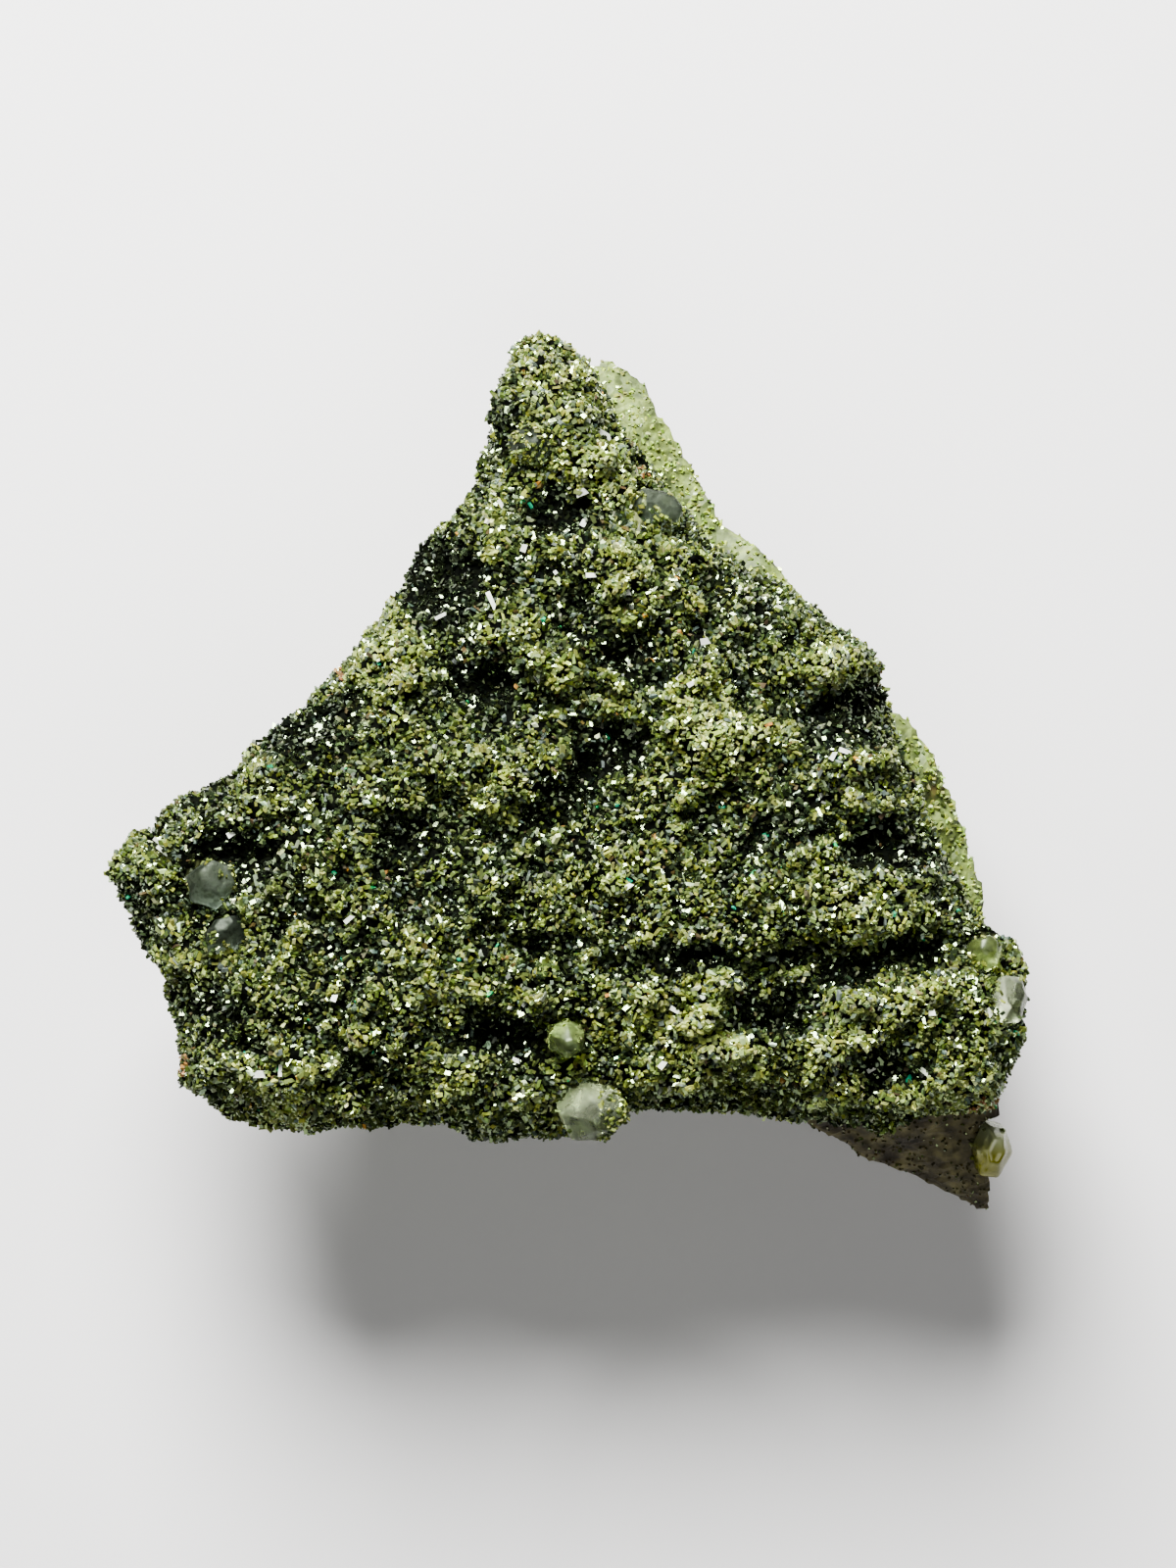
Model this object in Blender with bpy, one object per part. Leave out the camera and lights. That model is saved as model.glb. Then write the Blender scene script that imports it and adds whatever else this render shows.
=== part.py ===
# Epidote druse on its rock matrix, with clear quartz crystals standing in the druse.
# The specimen lies on the flat foot of the rock, druse face up: +Z is out of the druse,
# +Y towards the pointed tip, and the origin is the middle of the bounding box's underside.
import math
import random

import bmesh
import bpy
from mathutils import Matrix, Vector, noise
from mathutils.geometry import delaunay_2d_cdt

MM = 0.001

# Driving dimensions, in millimetres
RIM_HEIGHT = 19.6  # the druse's edge above the foot
CROWN = 2.6  # rise of the druse face from its edge to its middle
CROWN_REACH = 11.0  # distance from the edge over which it rises
ROLL_DROP = 2.0  # the druse rolls over at its edge by this much
ROLL_WIDTH = 2.4
CRUST_THICKNESS = 2.1
GAP = 0.3  # round a quartz crystal in its seat
SEAM = 0.38  # between the druse and the rock, measured straight down
RIM_INSET = 0.3  # the druse's edge inside the outline, which the jutting crystals reach
RIM_JUT = (0.2, 0.75)  # how far crystals jut from the druse's edge
MATRIX_INSET = 0.45  # the rock's top stands this far inside the druse's edge
SPECIMEN_CENTRE = (0.5, -3.0)

# Spacing of the mesh points, in millimetres
RIM_STEP = 1.55
UNDERSIDE_STEP = 3.0
FILL_STEP = 1.75
BLOCK_POINTS = 3  # points of the rock's rim above each of its broken blocks

# Coarse epidote prisms fused to the druse
PRISM_COUNT = 400
PRISM_LENGTH = (0.9, 1.7)
PRISM_WIDTH = (0.45, 0.75)
PRISM_HEIGHT = (0.45, 1.05)
PRISM_LEAN = 0.28
PRISM_OUTWARDS = 0.45  # how far a prism follows the slope that it stands on, from upright
PRISM_DISTANCE = 1.4  # least distance between two prisms' middles
PRISM_SEED = 11
DEEPEST_FOR_PRISMS = -1.5  # the floors of deeper hollows carry none

# Broken sides of the rock
LEDGE = (5.5, 4.5, 3.0)  # size of the blocks it broke along
LEDGE_TURN = Matrix.Rotation(0.5, 3, "X") @ Matrix.Rotation(0.6, 3, "Z")
CHIP_SIZE = 2.3
FRACTURES = [  # flat breaks below the belt: (facing, lean downwards, share of the belt's reach)
    (5, 34, 0.88), (30, 10, 0.93), (62, 40, 0.84), (95, 8, 0.86), (118, 46, 0.86),
    (146, 6, 0.97), (170, 38, 0.84), (200, 12, 0.93), (222, 50, 0.80), (243, 4, 0.96),
    (262, 34, 0.90), (290, 8, 1.02), (308, 50, 0.92), (330, 22, 0.94), (350, 54, 0.84),
]
MOST_BREAK = 0.17  # share of the way to the middle that a break reaches at most
FRACTURE_HEIGHT = 8.0  # height at which a break stands at its share of the reach
RIM_FALL = 0.35  # each ring of the rock's side lies at least this far below the last

# The druse's edge seen from above, clockwise from the tip
DRUSE_OUTLINE = [
    (-1.7, 23.9), (0.2, 23.0), (1.4, 21.4), (2.4, 19.2), (3.8, 17.0), (5.4, 15.2), (6.9, 13.3),
    (9.5, 11.0), (11.7, 9.9), (14.2, 8.1), (16.5, 6.6), (16.9, 4.4), (17.8, 1.7), (18.8, -0.6),
    (19.9, -3.5), (20.9, -6.0), (21.9, -7.8), (23.8, -9.1), (24.6, -11.3), (24.5, -13.9),
    (23.7, -16.3), (23.0, -18.2), (20.0, -18.4), (15.8, -19.0), (11.6, -18.5), (7.4, -18.2),
    (3.7, -18.0), (1.8, -18.9), (-0.3, -19.6), (-2.6, -19.6), (-4.6, -19.8), (-6.6, -18.9),
    (-9.5, -18.9), (-13.1, -19.4), (-17.6, -19.0), (-19.7, -17.4), (-20.9, -16.3),
    (-21.2, -13.7), (-21.8, -11.0), (-23.6, -8.1), (-24.7, -5.4), (-24.0, -3.9), (-22.4, -3.5),
    (-21.9, -1.9), (-19.7, -1.2), (-17.6, 0.6), (-15.2, 3.2), (-13.0, 4.8), (-10.9, 7.4),
    (-9.3, 9.8), (-8.0, 12.8), (-6.0, 14.2), (-4.8, 15.6), (-4.3, 18.4), (-3.8, 20.9),
    (-3.2, 22.8),
]

# The rock's widest line, (x, y, z): the back ridge at the upper right, the fin at the lower right
MATRIX_BELT = [
    (2.7, 23.0, 12.0), (4.3, 21.7, 12.0), (5.8, 18.9, 12.5), (7.1, 16.6, 12.5), (9.1, 13.9, 13.0),
    (10.5, 12.4, 14.0), (14.4, 8.4, 15.0), (17.6, 6.2, 15.0), (18.9, 3.9, 14.5),
    (20.1, 2.6, 14.0), (21.2, 0.4, 13.0), (22.6, -2.0, 12.0), (22.8, -4.6, 12.0),
    (22.8, -7.6, 12.0), (24.0, -11.8, 13.0), (23.9, -16.3, 14.0), (23.9, -18.6, 13.5),
    (23.4, -20.0, 13.0), (23.9, -21.5, 12.0), (24.1, -22.9, 11.0), (23.2, -22.6, 10.0), (24.0, -25.2, 8.5), (21.5, -23.9, 8.5),
    (19.1, -22.4, 9.0), (18.1, -22.6, 9.5), (14.8, -20.4, 11.5), (10.2, -18.0, 13.0),
    (3.8, -17.2, 13.0), (-2.1, -18.2, 12.5), (-9.2, -17.9, 12.0), (-15.4, -17.9, 12.0),
    (-19.0, -16.2, 12.0), (-20.3, -12.8, 12.0), (-22.0, -8.7, 13.0), (-22.6, -5.6, 14.0),
    (-20.9, -3.3, 14.0), (-17.6, -0.9, 13.5), (-14.5, 2.6, 13.0), (-11.1, 6.3, 12.0),
    (-8.6, 10.2, 12.0), (-6.8, 13.3, 12.5), (-4.2, 15.9, 13.0), (-3.6, 19.0, 13.0),
    (-2.5, 21.7, 12.5), (0.2, 22.1, 12.0),
]

# The flat foot that the specimen rests on
MATRIX_FOOT = [
    (-1.0, 16.5), (5.0, 15.5), (9.5, 10.0), (14.5, 6.0), (18.5, -1.0), (20.0, -9.5),
    (18.5, -16.0), (11.0, -17.0), (5.0, -14.5), (-4.0, -15.5), (-13.0, -15.0), (-17.5, -10.5),
    (-17.0, -4.0), (-12.0, -0.5), (-9.0, 5.5), (-4.5, 9.5),
]

# Relief of the druse face: (x, y, half length, half width, turn in degrees, height)
HOLLOWS = [
    (-0.6, 13.9, 1.9, 1.2, 0, -2.4), (-6.9, 10.3, 2.2, 1.8, -15, -2.2),
    (-4.5, 4.9, 2.2, 1.4, -10, -2.0), (2.8, 6.1, 2.2, 1.1, -25, -1.8),
    (2.4, 1.3, 2.6, 1.3, 35, -2.6), (0.8, 3.4, 1.3, 1.3, 0, -1.6), (0.4, 8.0, 1.4, 0.9, 0, -1.3),
    (15.4, 3.9, 2.0, 1.3, 5, -2.6), (12.9, 3.2, 1.4, 1.0, 0, -1.6), (11.7, 7.1, 1.3, 0.9, 0, -1.2),
    (9.5, 4.4, 1.4, 0.8, -20, -1.2), (7.4, 8.8, 1.2, 0.8, 0, -1.0),
    (16.4, -3.8, 1.6, 1.2, 30, -2.4), (18.6, -4.7, 1.0, 0.9, 0, -1.3),
    (17.9, -9.3, 2.2, 0.8, 0, -1.9), (15.0, -10.5, 2.0, 1.0, 15, -1.8),
    (11.7, -9.6, 2.2, 0.9, 20, -1.8), (6.6, -10.0, 1.8, 0.8, 15, -1.6),
    (10.9, -13.0, 2.1, 1.1, 0, -2.3), (17.2, -15.6, 1.6, 0.9, 0, -1.5),
    (10.6, -17.0, 2.6, 0.8, -5, -1.5), (2.4, -10.2, 1.4, 0.9, 0, -1.4),
    (-13.6, 2.6, 2.2, 0.9, 25, -1.6), (-17.6, -4.2, 2.4, 1.1, 0, -2.1),
    (-21.8, -7.3, 1.4, 1.0, -20, -1.3), (-18.6, -12.7, 1.6, 1.1, 0, -1.6),
    (-9.1, -3.7, 1.5, 1.2, 10, -1.7), (-7.1, -1.8, 1.5, 1.0, 10, -1.6),
    (-0.4, -1.7, 1.6, 1.0, 20, -1.4), (-11.9, -9.6, 1.4, 1.0, 0, -1.3),
    (-3.6, -14.0, 2.0, 1.1, 0, -1.7), (-6.7, -13.8, 1.2, 0.9, 0, -1.2),
    (-11.2, -16.1, 1.5, 0.9, 0, -1.4), (-8.6, -6.4, 1.6, 0.9, 0, -0.9),
    (-0.8, -9.4, 1.3, 0.9, 0, -1.2), (9.9, -3.0, 2.2, 1.1, -10, -1.3),
    (4.9, -5.0, 1.6, 0.8, 0, -0.8), (-14.8, -8.0, 1.4, 0.8, 0, -0.9),
    (-1.4, 10.4, 1.2, 0.8, 20, -0.9), (19.8, -13.6, 1.4, 0.8, 0, -0.9),
]
HILLS = [
    (-1.7, 21.3, 1.8, 1.8, 0, 0.8), (1.4, 16.8, 2.2, 1.5, -40, 0.9),
    (-3.8, 13.4, 2.2, 1.1, 30, 1.0), (3.1, 10.9, 2.2, 1.5, -20, 1.2), (0.2, 11.3, 1.6, 1.1, 0, 0.9),
    (-3.4, 8.4, 2.4, 1.3, -30, 1.3), (-9.1, 7.6, 1.8, 1.2, 45, 0.7),
    (-9.1, 4.4, 2.0, 1.3, 20, 0.9), (-0.4, 5.6, 1.6, 1.1, 0, 1.0),
    (-3.8, 0.2, 2.8, 1.6, -10, 1.3), (7.3, 2.1, 3.2, 1.3, -20, 1.8),
    (7.3, 5.7, 2.2, 1.4, -20, 1.0), (14.2, 6.3, 2.2, 1.1, -10, 1.3), (15.0, 0.8, 2.0, 1.2, 0, 1.0),
    (12.4, -4.9, 2.2, 1.5, -15, 1.0), (11.9, -6.9, 2.6, 1.3, 10, 1.0),
    (16.7, -7.0, 2.4, 1.2, 10, 1.4), (2.8, -5.6, 2.4, 1.6, 0, 1.0), (6.8, -6.6, 2.0, 1.3, 0, 0.9),
    (-3.4, -5.2, 2.6, 1.4, 0, 0.9), (-5.4, -8.8, 2.0, 1.3, 10, 0.9),
    (-11.6, -4.4, 1.8, 1.4, 25, 1.0), (-13.0, -1.2, 2.2, 1.2, 0, 0.9),
    (-16.8, -1.2, 2.0, 1.1, 35, 0.8), (-22.4, -4.6, 1.4, 1.0, 0, 0.6),
    (-16.5, -10.4, 2.4, 1.2, 0, 1.0), (-8.8, -9.8, 1.8, 1.3, 0, 0.9),
    (-6.7, -11.7, 1.8, 1.1, 10, 1.0), (-15.4, -15.8, 2.2, 1.3, 10, 1.0),
    (2.8, -12.2, 1.8, 1.4, 60, 1.2), (7.2, -12.2, 2.0, 1.2, -60, 1.3),
    (7.7, -14.8, 2.0, 1.1, 0, 1.0), (14.4, -13.8, 2.4, 1.3, 5, 1.2), (16.8, -12.2, 2.0, 1.0, 0, 1.0),
    (20.4, -12.0, 2.2, 1.3, 10, 1.0), (18.6, -17.3, 2.8, 0.8, 5, 0.9),
    (-5.6, -15.2, 2.0, 1.0, 0, 0.9), (4.4, -16.2, 2.0, 1.0, 0, 0.8), (-1.5, -12.0, 1.4, 1.0, 0, 0.7),
]
STEEPNESS = 1.35  # of the walls of the hollows and hills; 1 is a soft bell
LUMP_SIZE = 3.1  # distance between the small round lumps all over the face
LUMP_HEIGHT = 1.7
GRAIN_HEIGHT = 0.25  # unevenness of the small facets between the prisms
MOST_RELIEF_BELOW = 0.85  # share of a hollow's depth that the druse's underside follows

# Quartz crystals: name, x, y, sink below the druse face, width, length, tip width share,
# squeeze across, lean (degrees towards +X, towards +Y), spin
QUARTZ = [
    ("quartz_left", -19.2, -6.0, 1.2, 2.9, 2.2, 0.72, 0.92, (4, 6), 12),
    ("quartz_left_lower", -18.3, -8.9, 1.2, 2.8, 2.1, 0.45, 0.66, (-8, 18), 35),
    ("quartz_middle", -0.2, -13.9, 0.6, 2.2, 2.0, 0.40, 0.92, (6, -22), 0),
    ("quartz_bottom", 1.0, -17.7, 1.2, 3.9, 3.3, 0.42, 0.84, (14, -20), 25),
    ("quartz_right", 23.4, -12.2, 1.0, 2.9, 2.3, 0.40, 0.62, (20, 6), 84),
    ("quartz_right_inner", 22.2, -9.9, 1.1, 2.3, 1.8, 0.50, 0.86, (10, 14), 50),
    ("quartz_upper", 4.5, 14.0, 1.2, 3.1, 2.1, 0.55, 0.76, (16, 12), -35),
    ("quartz_tip", -1.8, 17.5, 1.1, 2.2, 1.8, 0.55, 1.2, (-10, 8), 80),
]
CORNER_QUARTZ = ("quartz_corner", 22.9, -20.3, 12.3, 3.3, 2.2, 0.50, 0.62, (12, -14), 84)
QUARTZ_CLEAR_ROUND = 0.9  # no prism stands nearer than this to a quartz crystal's side


def turned(x, y, degrees):
    angle = math.radians(degrees)
    return x * math.cos(angle) + y * math.sin(angle), y * math.cos(angle) - x * math.sin(angle)


def smooth_loop(points, step):
    """The closed outline as a smooth curve, with points about one step apart."""
    count = len(points)
    fine = []
    for i in range(count):
        p0, p1, p2, p3 = (Vector(points[(i + k - 1) % count]) for k in range(4))
        for part in range(8):
            t = part / 8
            fine.append(0.5 * (2 * p1 + (p2 - p0) * t + (2 * p0 - 5 * p1 + 4 * p2 - p3) * t * t
                               + (3 * p1 - p0 - 3 * p2 + p3) * t ** 3))
    lengths = [(fine[(i + 1) % len(fine)] - fine[i]).length for i in range(len(fine))]
    wanted = BLOCK_POINTS * round(sum(lengths) / step / BLOCK_POINTS)
    spacing = sum(lengths) / wanted
    loop, travelled, target = [], 0.0, 0.0
    for i, length in enumerate(lengths):
        while target < travelled + length and len(loop) < wanted:
            share = (target - travelled) / length
            loop.append(fine[i].lerp(fine[(i + 1) % len(fine)], share))
            target += spacing
        travelled += length
    return loop


def inset_loop(loop, distance):
    """The loop moved inwards; its points run clockwise."""
    moved = []
    for i, point in enumerate(loop):
        along = (loop[(i + 1) % len(loop)] - loop[i - 1]).normalized()
        moved.append(point + Vector((along.y, -along.x)) * distance)
    return moved


def edge_distance(x, y, loop):
    """Distance from a point to the loop, negative outside."""
    point = Vector((x, y))
    nearest, inside = 1e9, False
    for i, a in enumerate(loop):
        b = loop[(i + 1) % len(loop)]
        side = b - a
        share = max(0.0, min(1.0, (point - a).dot(side) / side.length_squared))
        nearest = min(nearest, (point - a - side * share).length)
        if (a.y > y) != (b.y > y) and x < (b.x - a.x) * (y - a.y) / (b.y - a.y) + a.x:
            inside = not inside
    return nearest if inside else -nearest


def relief(x, y, shapes):
    total = 0.0
    for cx, cy, half_length, half_width, turn, height in shapes:
        u, v = turned(x - cx, y - cy, turn)
        away = (u / half_length) ** 2 + (v / half_width) ** 2
        total += height * math.exp(-(0.8 * away) ** STEEPNESS)
    return total


DRUSE_EDGE = inset_loop(smooth_loop(DRUSE_OUTLINE, RIM_STEP), RIM_INSET)


def dome(x, y):
    """The druse face without its lumps."""
    inwards = max(0.0, edge_distance(x, y, DRUSE_EDGE))
    rise = 1 - (1 - min(inwards / CROWN_REACH, 1)) ** 2
    roll = max(0.0, 1 - inwards / ROLL_WIDTH) ** 2
    return RIM_HEIGHT + CROWN * rise - ROLL_DROP * roll


def druse_face(x, y):
    """Height of the druse's upper face."""
    apart = noise.voronoi(Vector((x, y, 4.0)) / LUMP_SIZE)[0][0]
    lump = LUMP_HEIGHT * (0.42 - apart)
    return dome(x, y) + relief(x, y, HOLLOWS) + relief(x, y, HILLS) + lump


def druse_underside(x, y):
    return dome(x, y) + MOST_RELIEF_BELOW * relief(x, y, HOLLOWS) - CRUST_THICKNESS


def hexagonal_fill(loop, step, margin):
    """Points of a triangular grid inside the loop, at least the margin from its edge."""
    points, row = [], 0
    low = Vector((min(p.x for p in loop), min(p.y for p in loop)))
    high = Vector((max(p.x for p in loop), max(p.y for p in loop)))
    y = low.y
    while y < high.y:
        x = low.x + (row % 2) * step / 2
        while x < high.x:
            if edge_distance(x, y, loop) > margin:
                points.append(Vector((x, y)))
            x += step
        y += step * math.sqrt(0.75)
        row += 1
    return points


def triangulated(loop, inner, footprints=()):
    """A flat triangulation inside the loop. It gives the points, the triangles, and for each
    triangle the number of the footprint it lies in, or None."""
    points = list(loop) + list(inner)
    faces = [list(reversed(range(len(loop))))]
    for corners in footprints:
        faces.append(list(range(len(points), len(points) + 4)))
        points += corners
    made, _, triangles, _, _, sources = delaunay_2d_cdt(points, [], faces, 1, 1e-5)
    owners = [max(source) - 1 if max(source) > 0 else None for source in sources]
    return made, triangles, owners


def underside_net():
    """The net of the druse's underside, which the top of the rock follows."""
    flat, triangles, _ = triangulated(DRUSE_EDGE, hexagonal_fill(DRUSE_EDGE, UNDERSIDE_STEP, 1.4))
    return flat, triangles


def new_collection(name):
    collection = bpy.data.collections.new(name)
    bpy.context.scene.collection.children.link(collection)
    return collection


def material(name, colour, roughness, transmission=0.0, ior=1.5):
    made = bpy.data.materials.new(name)
    made.use_nodes = True
    shader = made.node_tree.nodes["Principled BSDF"]
    shader.inputs["Base Color"].default_value = (*colour, 1.0)
    shader.inputs["Roughness"].default_value = roughness
    shader.inputs["Metallic"].default_value = 0.0
    shader.inputs["Transmission Weight"].default_value = transmission
    shader.inputs["IOR"].default_value = ior
    return made


def new_object(name, bm, collection, finish=None, parent=None):
    mesh = bpy.data.meshes.new(name)
    bm.to_mesh(mesh)
    bm.free()
    obj = bpy.data.objects.new(name, mesh)
    collection.objects.link(obj)
    if finish:
        mesh.materials.append(finish)
    obj.parent = parent
    return obj


def scatter_prisms():
    """Footprints of the coarse epidote prisms: (middle, half length, half width, turn)."""
    rng = random.Random(PRISM_SEED)
    placed = []
    tries = 0
    while len(placed) < PRISM_COUNT and tries < 20000:
        tries += 1
        middle = Vector((rng.uniform(-25, 25), rng.uniform(-20, 24)))
        half_length = rng.uniform(*PRISM_LENGTH) / 2
        half_width = rng.uniform(*PRISM_WIDTH) / 2
        turn = rng.uniform(0, 180)
        if edge_distance(middle.x, middle.y, DRUSE_EDGE) < half_length + 0.2:
            continue
        if any((middle - other[0]).length < PRISM_DISTANCE for other in placed):
            continue
        crowded = relief(middle.x, middle.y, HOLLOWS) < DEEPEST_FOR_PRISMS
        for _, x, y, _, width, _, _, _, _, _ in QUARTZ:
            reach = width / 2 + QUARTZ_CLEAR_ROUND + half_length
            crowded = crowded or (middle - Vector((x, y))).length < reach
        if not crowded:
            placed.append((middle, half_length, half_width, turn))
    return placed


def footprint(prism):
    """The prism's four corners on the druse face, the long sides first and third."""
    middle, half_length, half_width, turn = prism
    corners = []
    for along, across in ((-1, -1), (1, -1), (1, 1), (-1, 1)):
        x, y = turned(along * half_length, across * half_width, -turn)
        corners.append(middle + Vector((x, y)))
    return corners


def grow_prism(bm, faces, rng):
    """Raises one epidote prism with a slanted or pointed end from its footprint's faces."""
    face = bmesh.ops.dissolve_faces(bm, faces=faces)["region"][0]
    height = rng.uniform(*PRISM_HEIGHT) * MM
    lean = Vector((rng.uniform(-1, 1), rng.uniform(-1, 1), 0)) * PRISM_LEAN * MM
    face.normal_update()
    upwards = Vector((0, 0, 1)).lerp(face.normal, PRISM_OUTWARDS).normalized()
    end = bmesh.ops.extrude_discrete_faces(bm, faces=[face])["faces"][0]
    middle = end.calc_center_median()
    along = (end.verts[1].co - end.verts[0].co).normalized()
    pointed = rng.random() < 0.45
    slant = rng.uniform(0.25, 0.55) * (1 if rng.random() < 0.5 else -1)
    for corner in end.verts:
        offset = corner.co - middle
        corner.co = middle + offset * 0.86 + lean + upwards * height
        if not pointed:
            corner.co.z += offset.dot(along) * slant
    if pointed:
        peak = bmesh.ops.poke(bm, faces=[end])["verts"][0]
        peak.co.z += 0.35 * height


def build_crust(collection, finish, parent):
    """The druse: a lumpy sheet whose face carries the coarse prisms."""
    prisms = scatter_prisms()
    footprints = [footprint(prism) for prism in prisms]
    fill = []
    for point in hexagonal_fill(DRUSE_EDGE, FILL_STEP, 1.1):
        if all((point - prism[0]).length > 1.15 for prism in prisms):
            fill.append(point)
    bm = bmesh.new()
    flat, triangles, owners = triangulated(DRUSE_EDGE, fill, footprints)
    rng = random.Random(PRISM_SEED + 1)
    top = []
    for p in flat:
        height = druse_face(p.x, p.y) + rng.uniform(-GRAIN_HEIGHT, GRAIN_HEIGHT)
        top.append(bm.verts.new((p.x * MM, p.y * MM, height * MM)))
    regions = {}
    for triangle, owner in zip(triangles, owners):
        face = bm.faces.new([top[i] for i in triangle])
        if owner is not None:
            regions.setdefault(owner, []).append(face)
    for owner in sorted(regions):
        grow_prism(bm, regions[owner], rng)
    rim = len(DRUSE_EDGE)
    outer = inset_loop(DRUSE_EDGE, -1.0)
    wall = [top[:rim]]
    for parity, share in ((1, 0.68), (0, 0.34)):
        ring = []
        for i, p in enumerate(DRUSE_EDGE):
            out = p.lerp(outer[i], rng.uniform(*RIM_JUT) if i % 2 == parity else 0.0)
            height = druse_underside(p.x, p.y) + CRUST_THICKNESS * (share + rng.uniform(-0.1, 0.1))
            ring.append(bm.verts.new((out.x * MM, out.y * MM, height * MM)))
        wall.append(ring)
    flat, triangles = underside_net()
    below = [bm.verts.new((p.x * MM, p.y * MM, druse_underside(p.x, p.y) * MM)) for p in flat]
    for triangle in triangles:
        bm.faces.new([below[i] for i in reversed(triangle)])
    wall.append(below[:rim])
    for upper, lower in zip(wall, wall[1:]):
        for i in range(rim):
            after = (i + 1) % rim
            bm.faces.new([upper[i], lower[i], lower[after], upper[after]])
    bmesh.ops.recalc_face_normals(bm, faces=bm.faces)
    bmesh.ops.triangulate(bm, faces=bm.faces)
    return new_object("epidote_crust", bm, collection, finish, parent)


def section_point(outline, angle):
    """Where a ray from the specimen's centre at this angle leaves the outline."""
    direction = Vector((math.cos(angle), math.sin(angle)))
    best, reach = None, 0.0
    for i, start in enumerate(outline):
        a = Vector(start)
        b = Vector(outline[(i + 1) % len(outline)])
        side = b - a
        gap = Vector((a.x - SPECIMEN_CENTRE[0], a.y - SPECIMEN_CENTRE[1]))
        cross = direction.x * side.y - direction.y * side.x
        if abs(cross) < 1e-9:
            continue
        distance = (gap.x * side.y - gap.y * side.x) / cross
        share = (gap.x * direction.y - gap.y * direction.x) / cross
        if distance > reach and -1e-6 <= share <= 1 + 1e-6:
            best, reach = a.lerp(b, share), distance
    return best


def fracture_planes():
    """Each flat break as a point on it and its outward direction."""
    planes = []
    for facing, lean, share in FRACTURES:
        turn, tilt = math.radians(facing), math.radians(lean)
        reach = Vector(SPECIMEN_CENTRE).lerp(section_point(MATRIX_BELT, turn).to_2d(), share)
        out = Vector((math.cos(turn) * math.cos(tilt), math.sin(turn) * math.cos(tilt),
                      -math.sin(tilt)))
        planes.append((Vector((reach.x, reach.y, FRACTURE_HEIGHT)), out))
    return planes


def fractured(point, planes):
    """The point, pulled straight in to the innermost flat break that it stands beyond."""
    inwards = Vector((*SPECIMEN_CENTRE, point.z)) - point
    pull = 0.0
    for place, out in planes:
        facing = -inwards.dot(out)
        if facing > 0:
            pull = max(pull, (point - place).dot(out) / facing)
    return point + inwards * min(pull, MOST_BREAK)


def broken(point):
    """Steps and chips of the broken rock at a point, from about -1.5 to 0.8."""
    grain = LEDGE_TURN @ point
    step = noise.cell(Vector((grain.x / LEDGE[0], grain.y / LEDGE[1], grain.z / LEDGE[2])))
    chips = noise.noise(point / CHIP_SIZE)
    return 1.6 * step - 1.1 + 0.8 * chips


def join_rings(bm, upper, lower):
    """Faces between two rings, where the lower one may have a third of the points."""
    every = len(upper) // len(lower)
    for i in range(len(lower)):
        after = (i + 1) % len(lower)
        fine = [upper[(every * i + k) % len(upper)] for k in range(every + 1)]
        if every == 1:
            bm.faces.new([fine[0], lower[i], lower[after], fine[1]])
        else:
            bm.faces.new([fine[0], lower[i], fine[1]])
            bm.faces.new([fine[1], lower[i], lower[after]])
            bm.faces.new([fine[1], lower[after], fine[2]])
            bm.faces.new([fine[2], lower[after], fine[3]])


def build_matrix(collection, finish, parent):
    """The rock: its top follows the druse's underside, and its sides run out to the belt
    and in to the flat foot, with broken steps between."""
    loop = inset_loop(DRUSE_EDGE, MATRIX_INSET)
    flat, triangles = underside_net()
    bm = bmesh.new()
    top = []
    for i, p in enumerate(flat):
        place = loop[i] if i < len(loop) else p
        height = druse_underside(p.x, p.y) - SEAM
        top.append(bm.verts.new((place.x * MM, place.y * MM, height * MM)))
    for triangle in triangles:
        bm.faces.new([top[i] for i in triangle])
    foot = [(x, y, 0.0) for x, y in MATRIX_FOOT]
    planes = fracture_planes()
    rings = [top[:len(loop)]]
    # where the ring lies, its share of the way there, its roughness, and rim points a block
    levels = (("belt", 0.18, 0.2, 1), ("belt", 0.5, 0.6, 1), ("belt", 1.0, 0.35, 1),
              ("foot", 0.2, 0.9, 3), ("foot", 0.42, 1.3, 3), ("foot", 0.63, 1.3, 3),
              ("foot", 0.84, 1.2, 3), ("foot", 1.0, 0.8, 3))
    for kind, share, rough, every in levels:
        ring = []
        for i in range(0, len(loop), every):
            p = loop[i]
            angle = math.atan2(p.y - SPECIMEN_CENTRE[1], p.x - SPECIMEN_CENTRE[0])
            wide = section_point(MATRIX_BELT, angle)
            rim = top[i].co / MM
            point = rim.lerp(wide, share) if kind == "belt" else wide.lerp(
                section_point(foot, angle), share)
            outwards = Vector((math.cos(angle), math.sin(angle), 0.0))
            if kind == "foot":
                point = fractured(point, planes)
            sideways = Vector((-outwards.y, outwards.x, 0.0))
            point += outwards * rough * broken(point)
            point += sideways * rough * noise.noise(point / 1.7 + Vector((2, 9, 5)))
            if share < 1:
                point.z += rough * noise.noise(point / 2.7 + Vector((7, 3, 1)))
            point.z = min(point.z, rim.z - RIM_FALL * len(rings))
            ring.append(bm.verts.new(point * MM))
        rings.append(ring)
    for upper, lower in zip(rings, rings[1:]):
        join_rings(bm, upper, lower)
    bm.faces.new(rings[-1])
    bmesh.ops.recalc_face_normals(bm, faces=bm.faces)
    bmesh.ops.triangulate(bm, faces=bm.faces)
    return new_object("rock_matrix", bm, collection, finish, parent)


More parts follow.
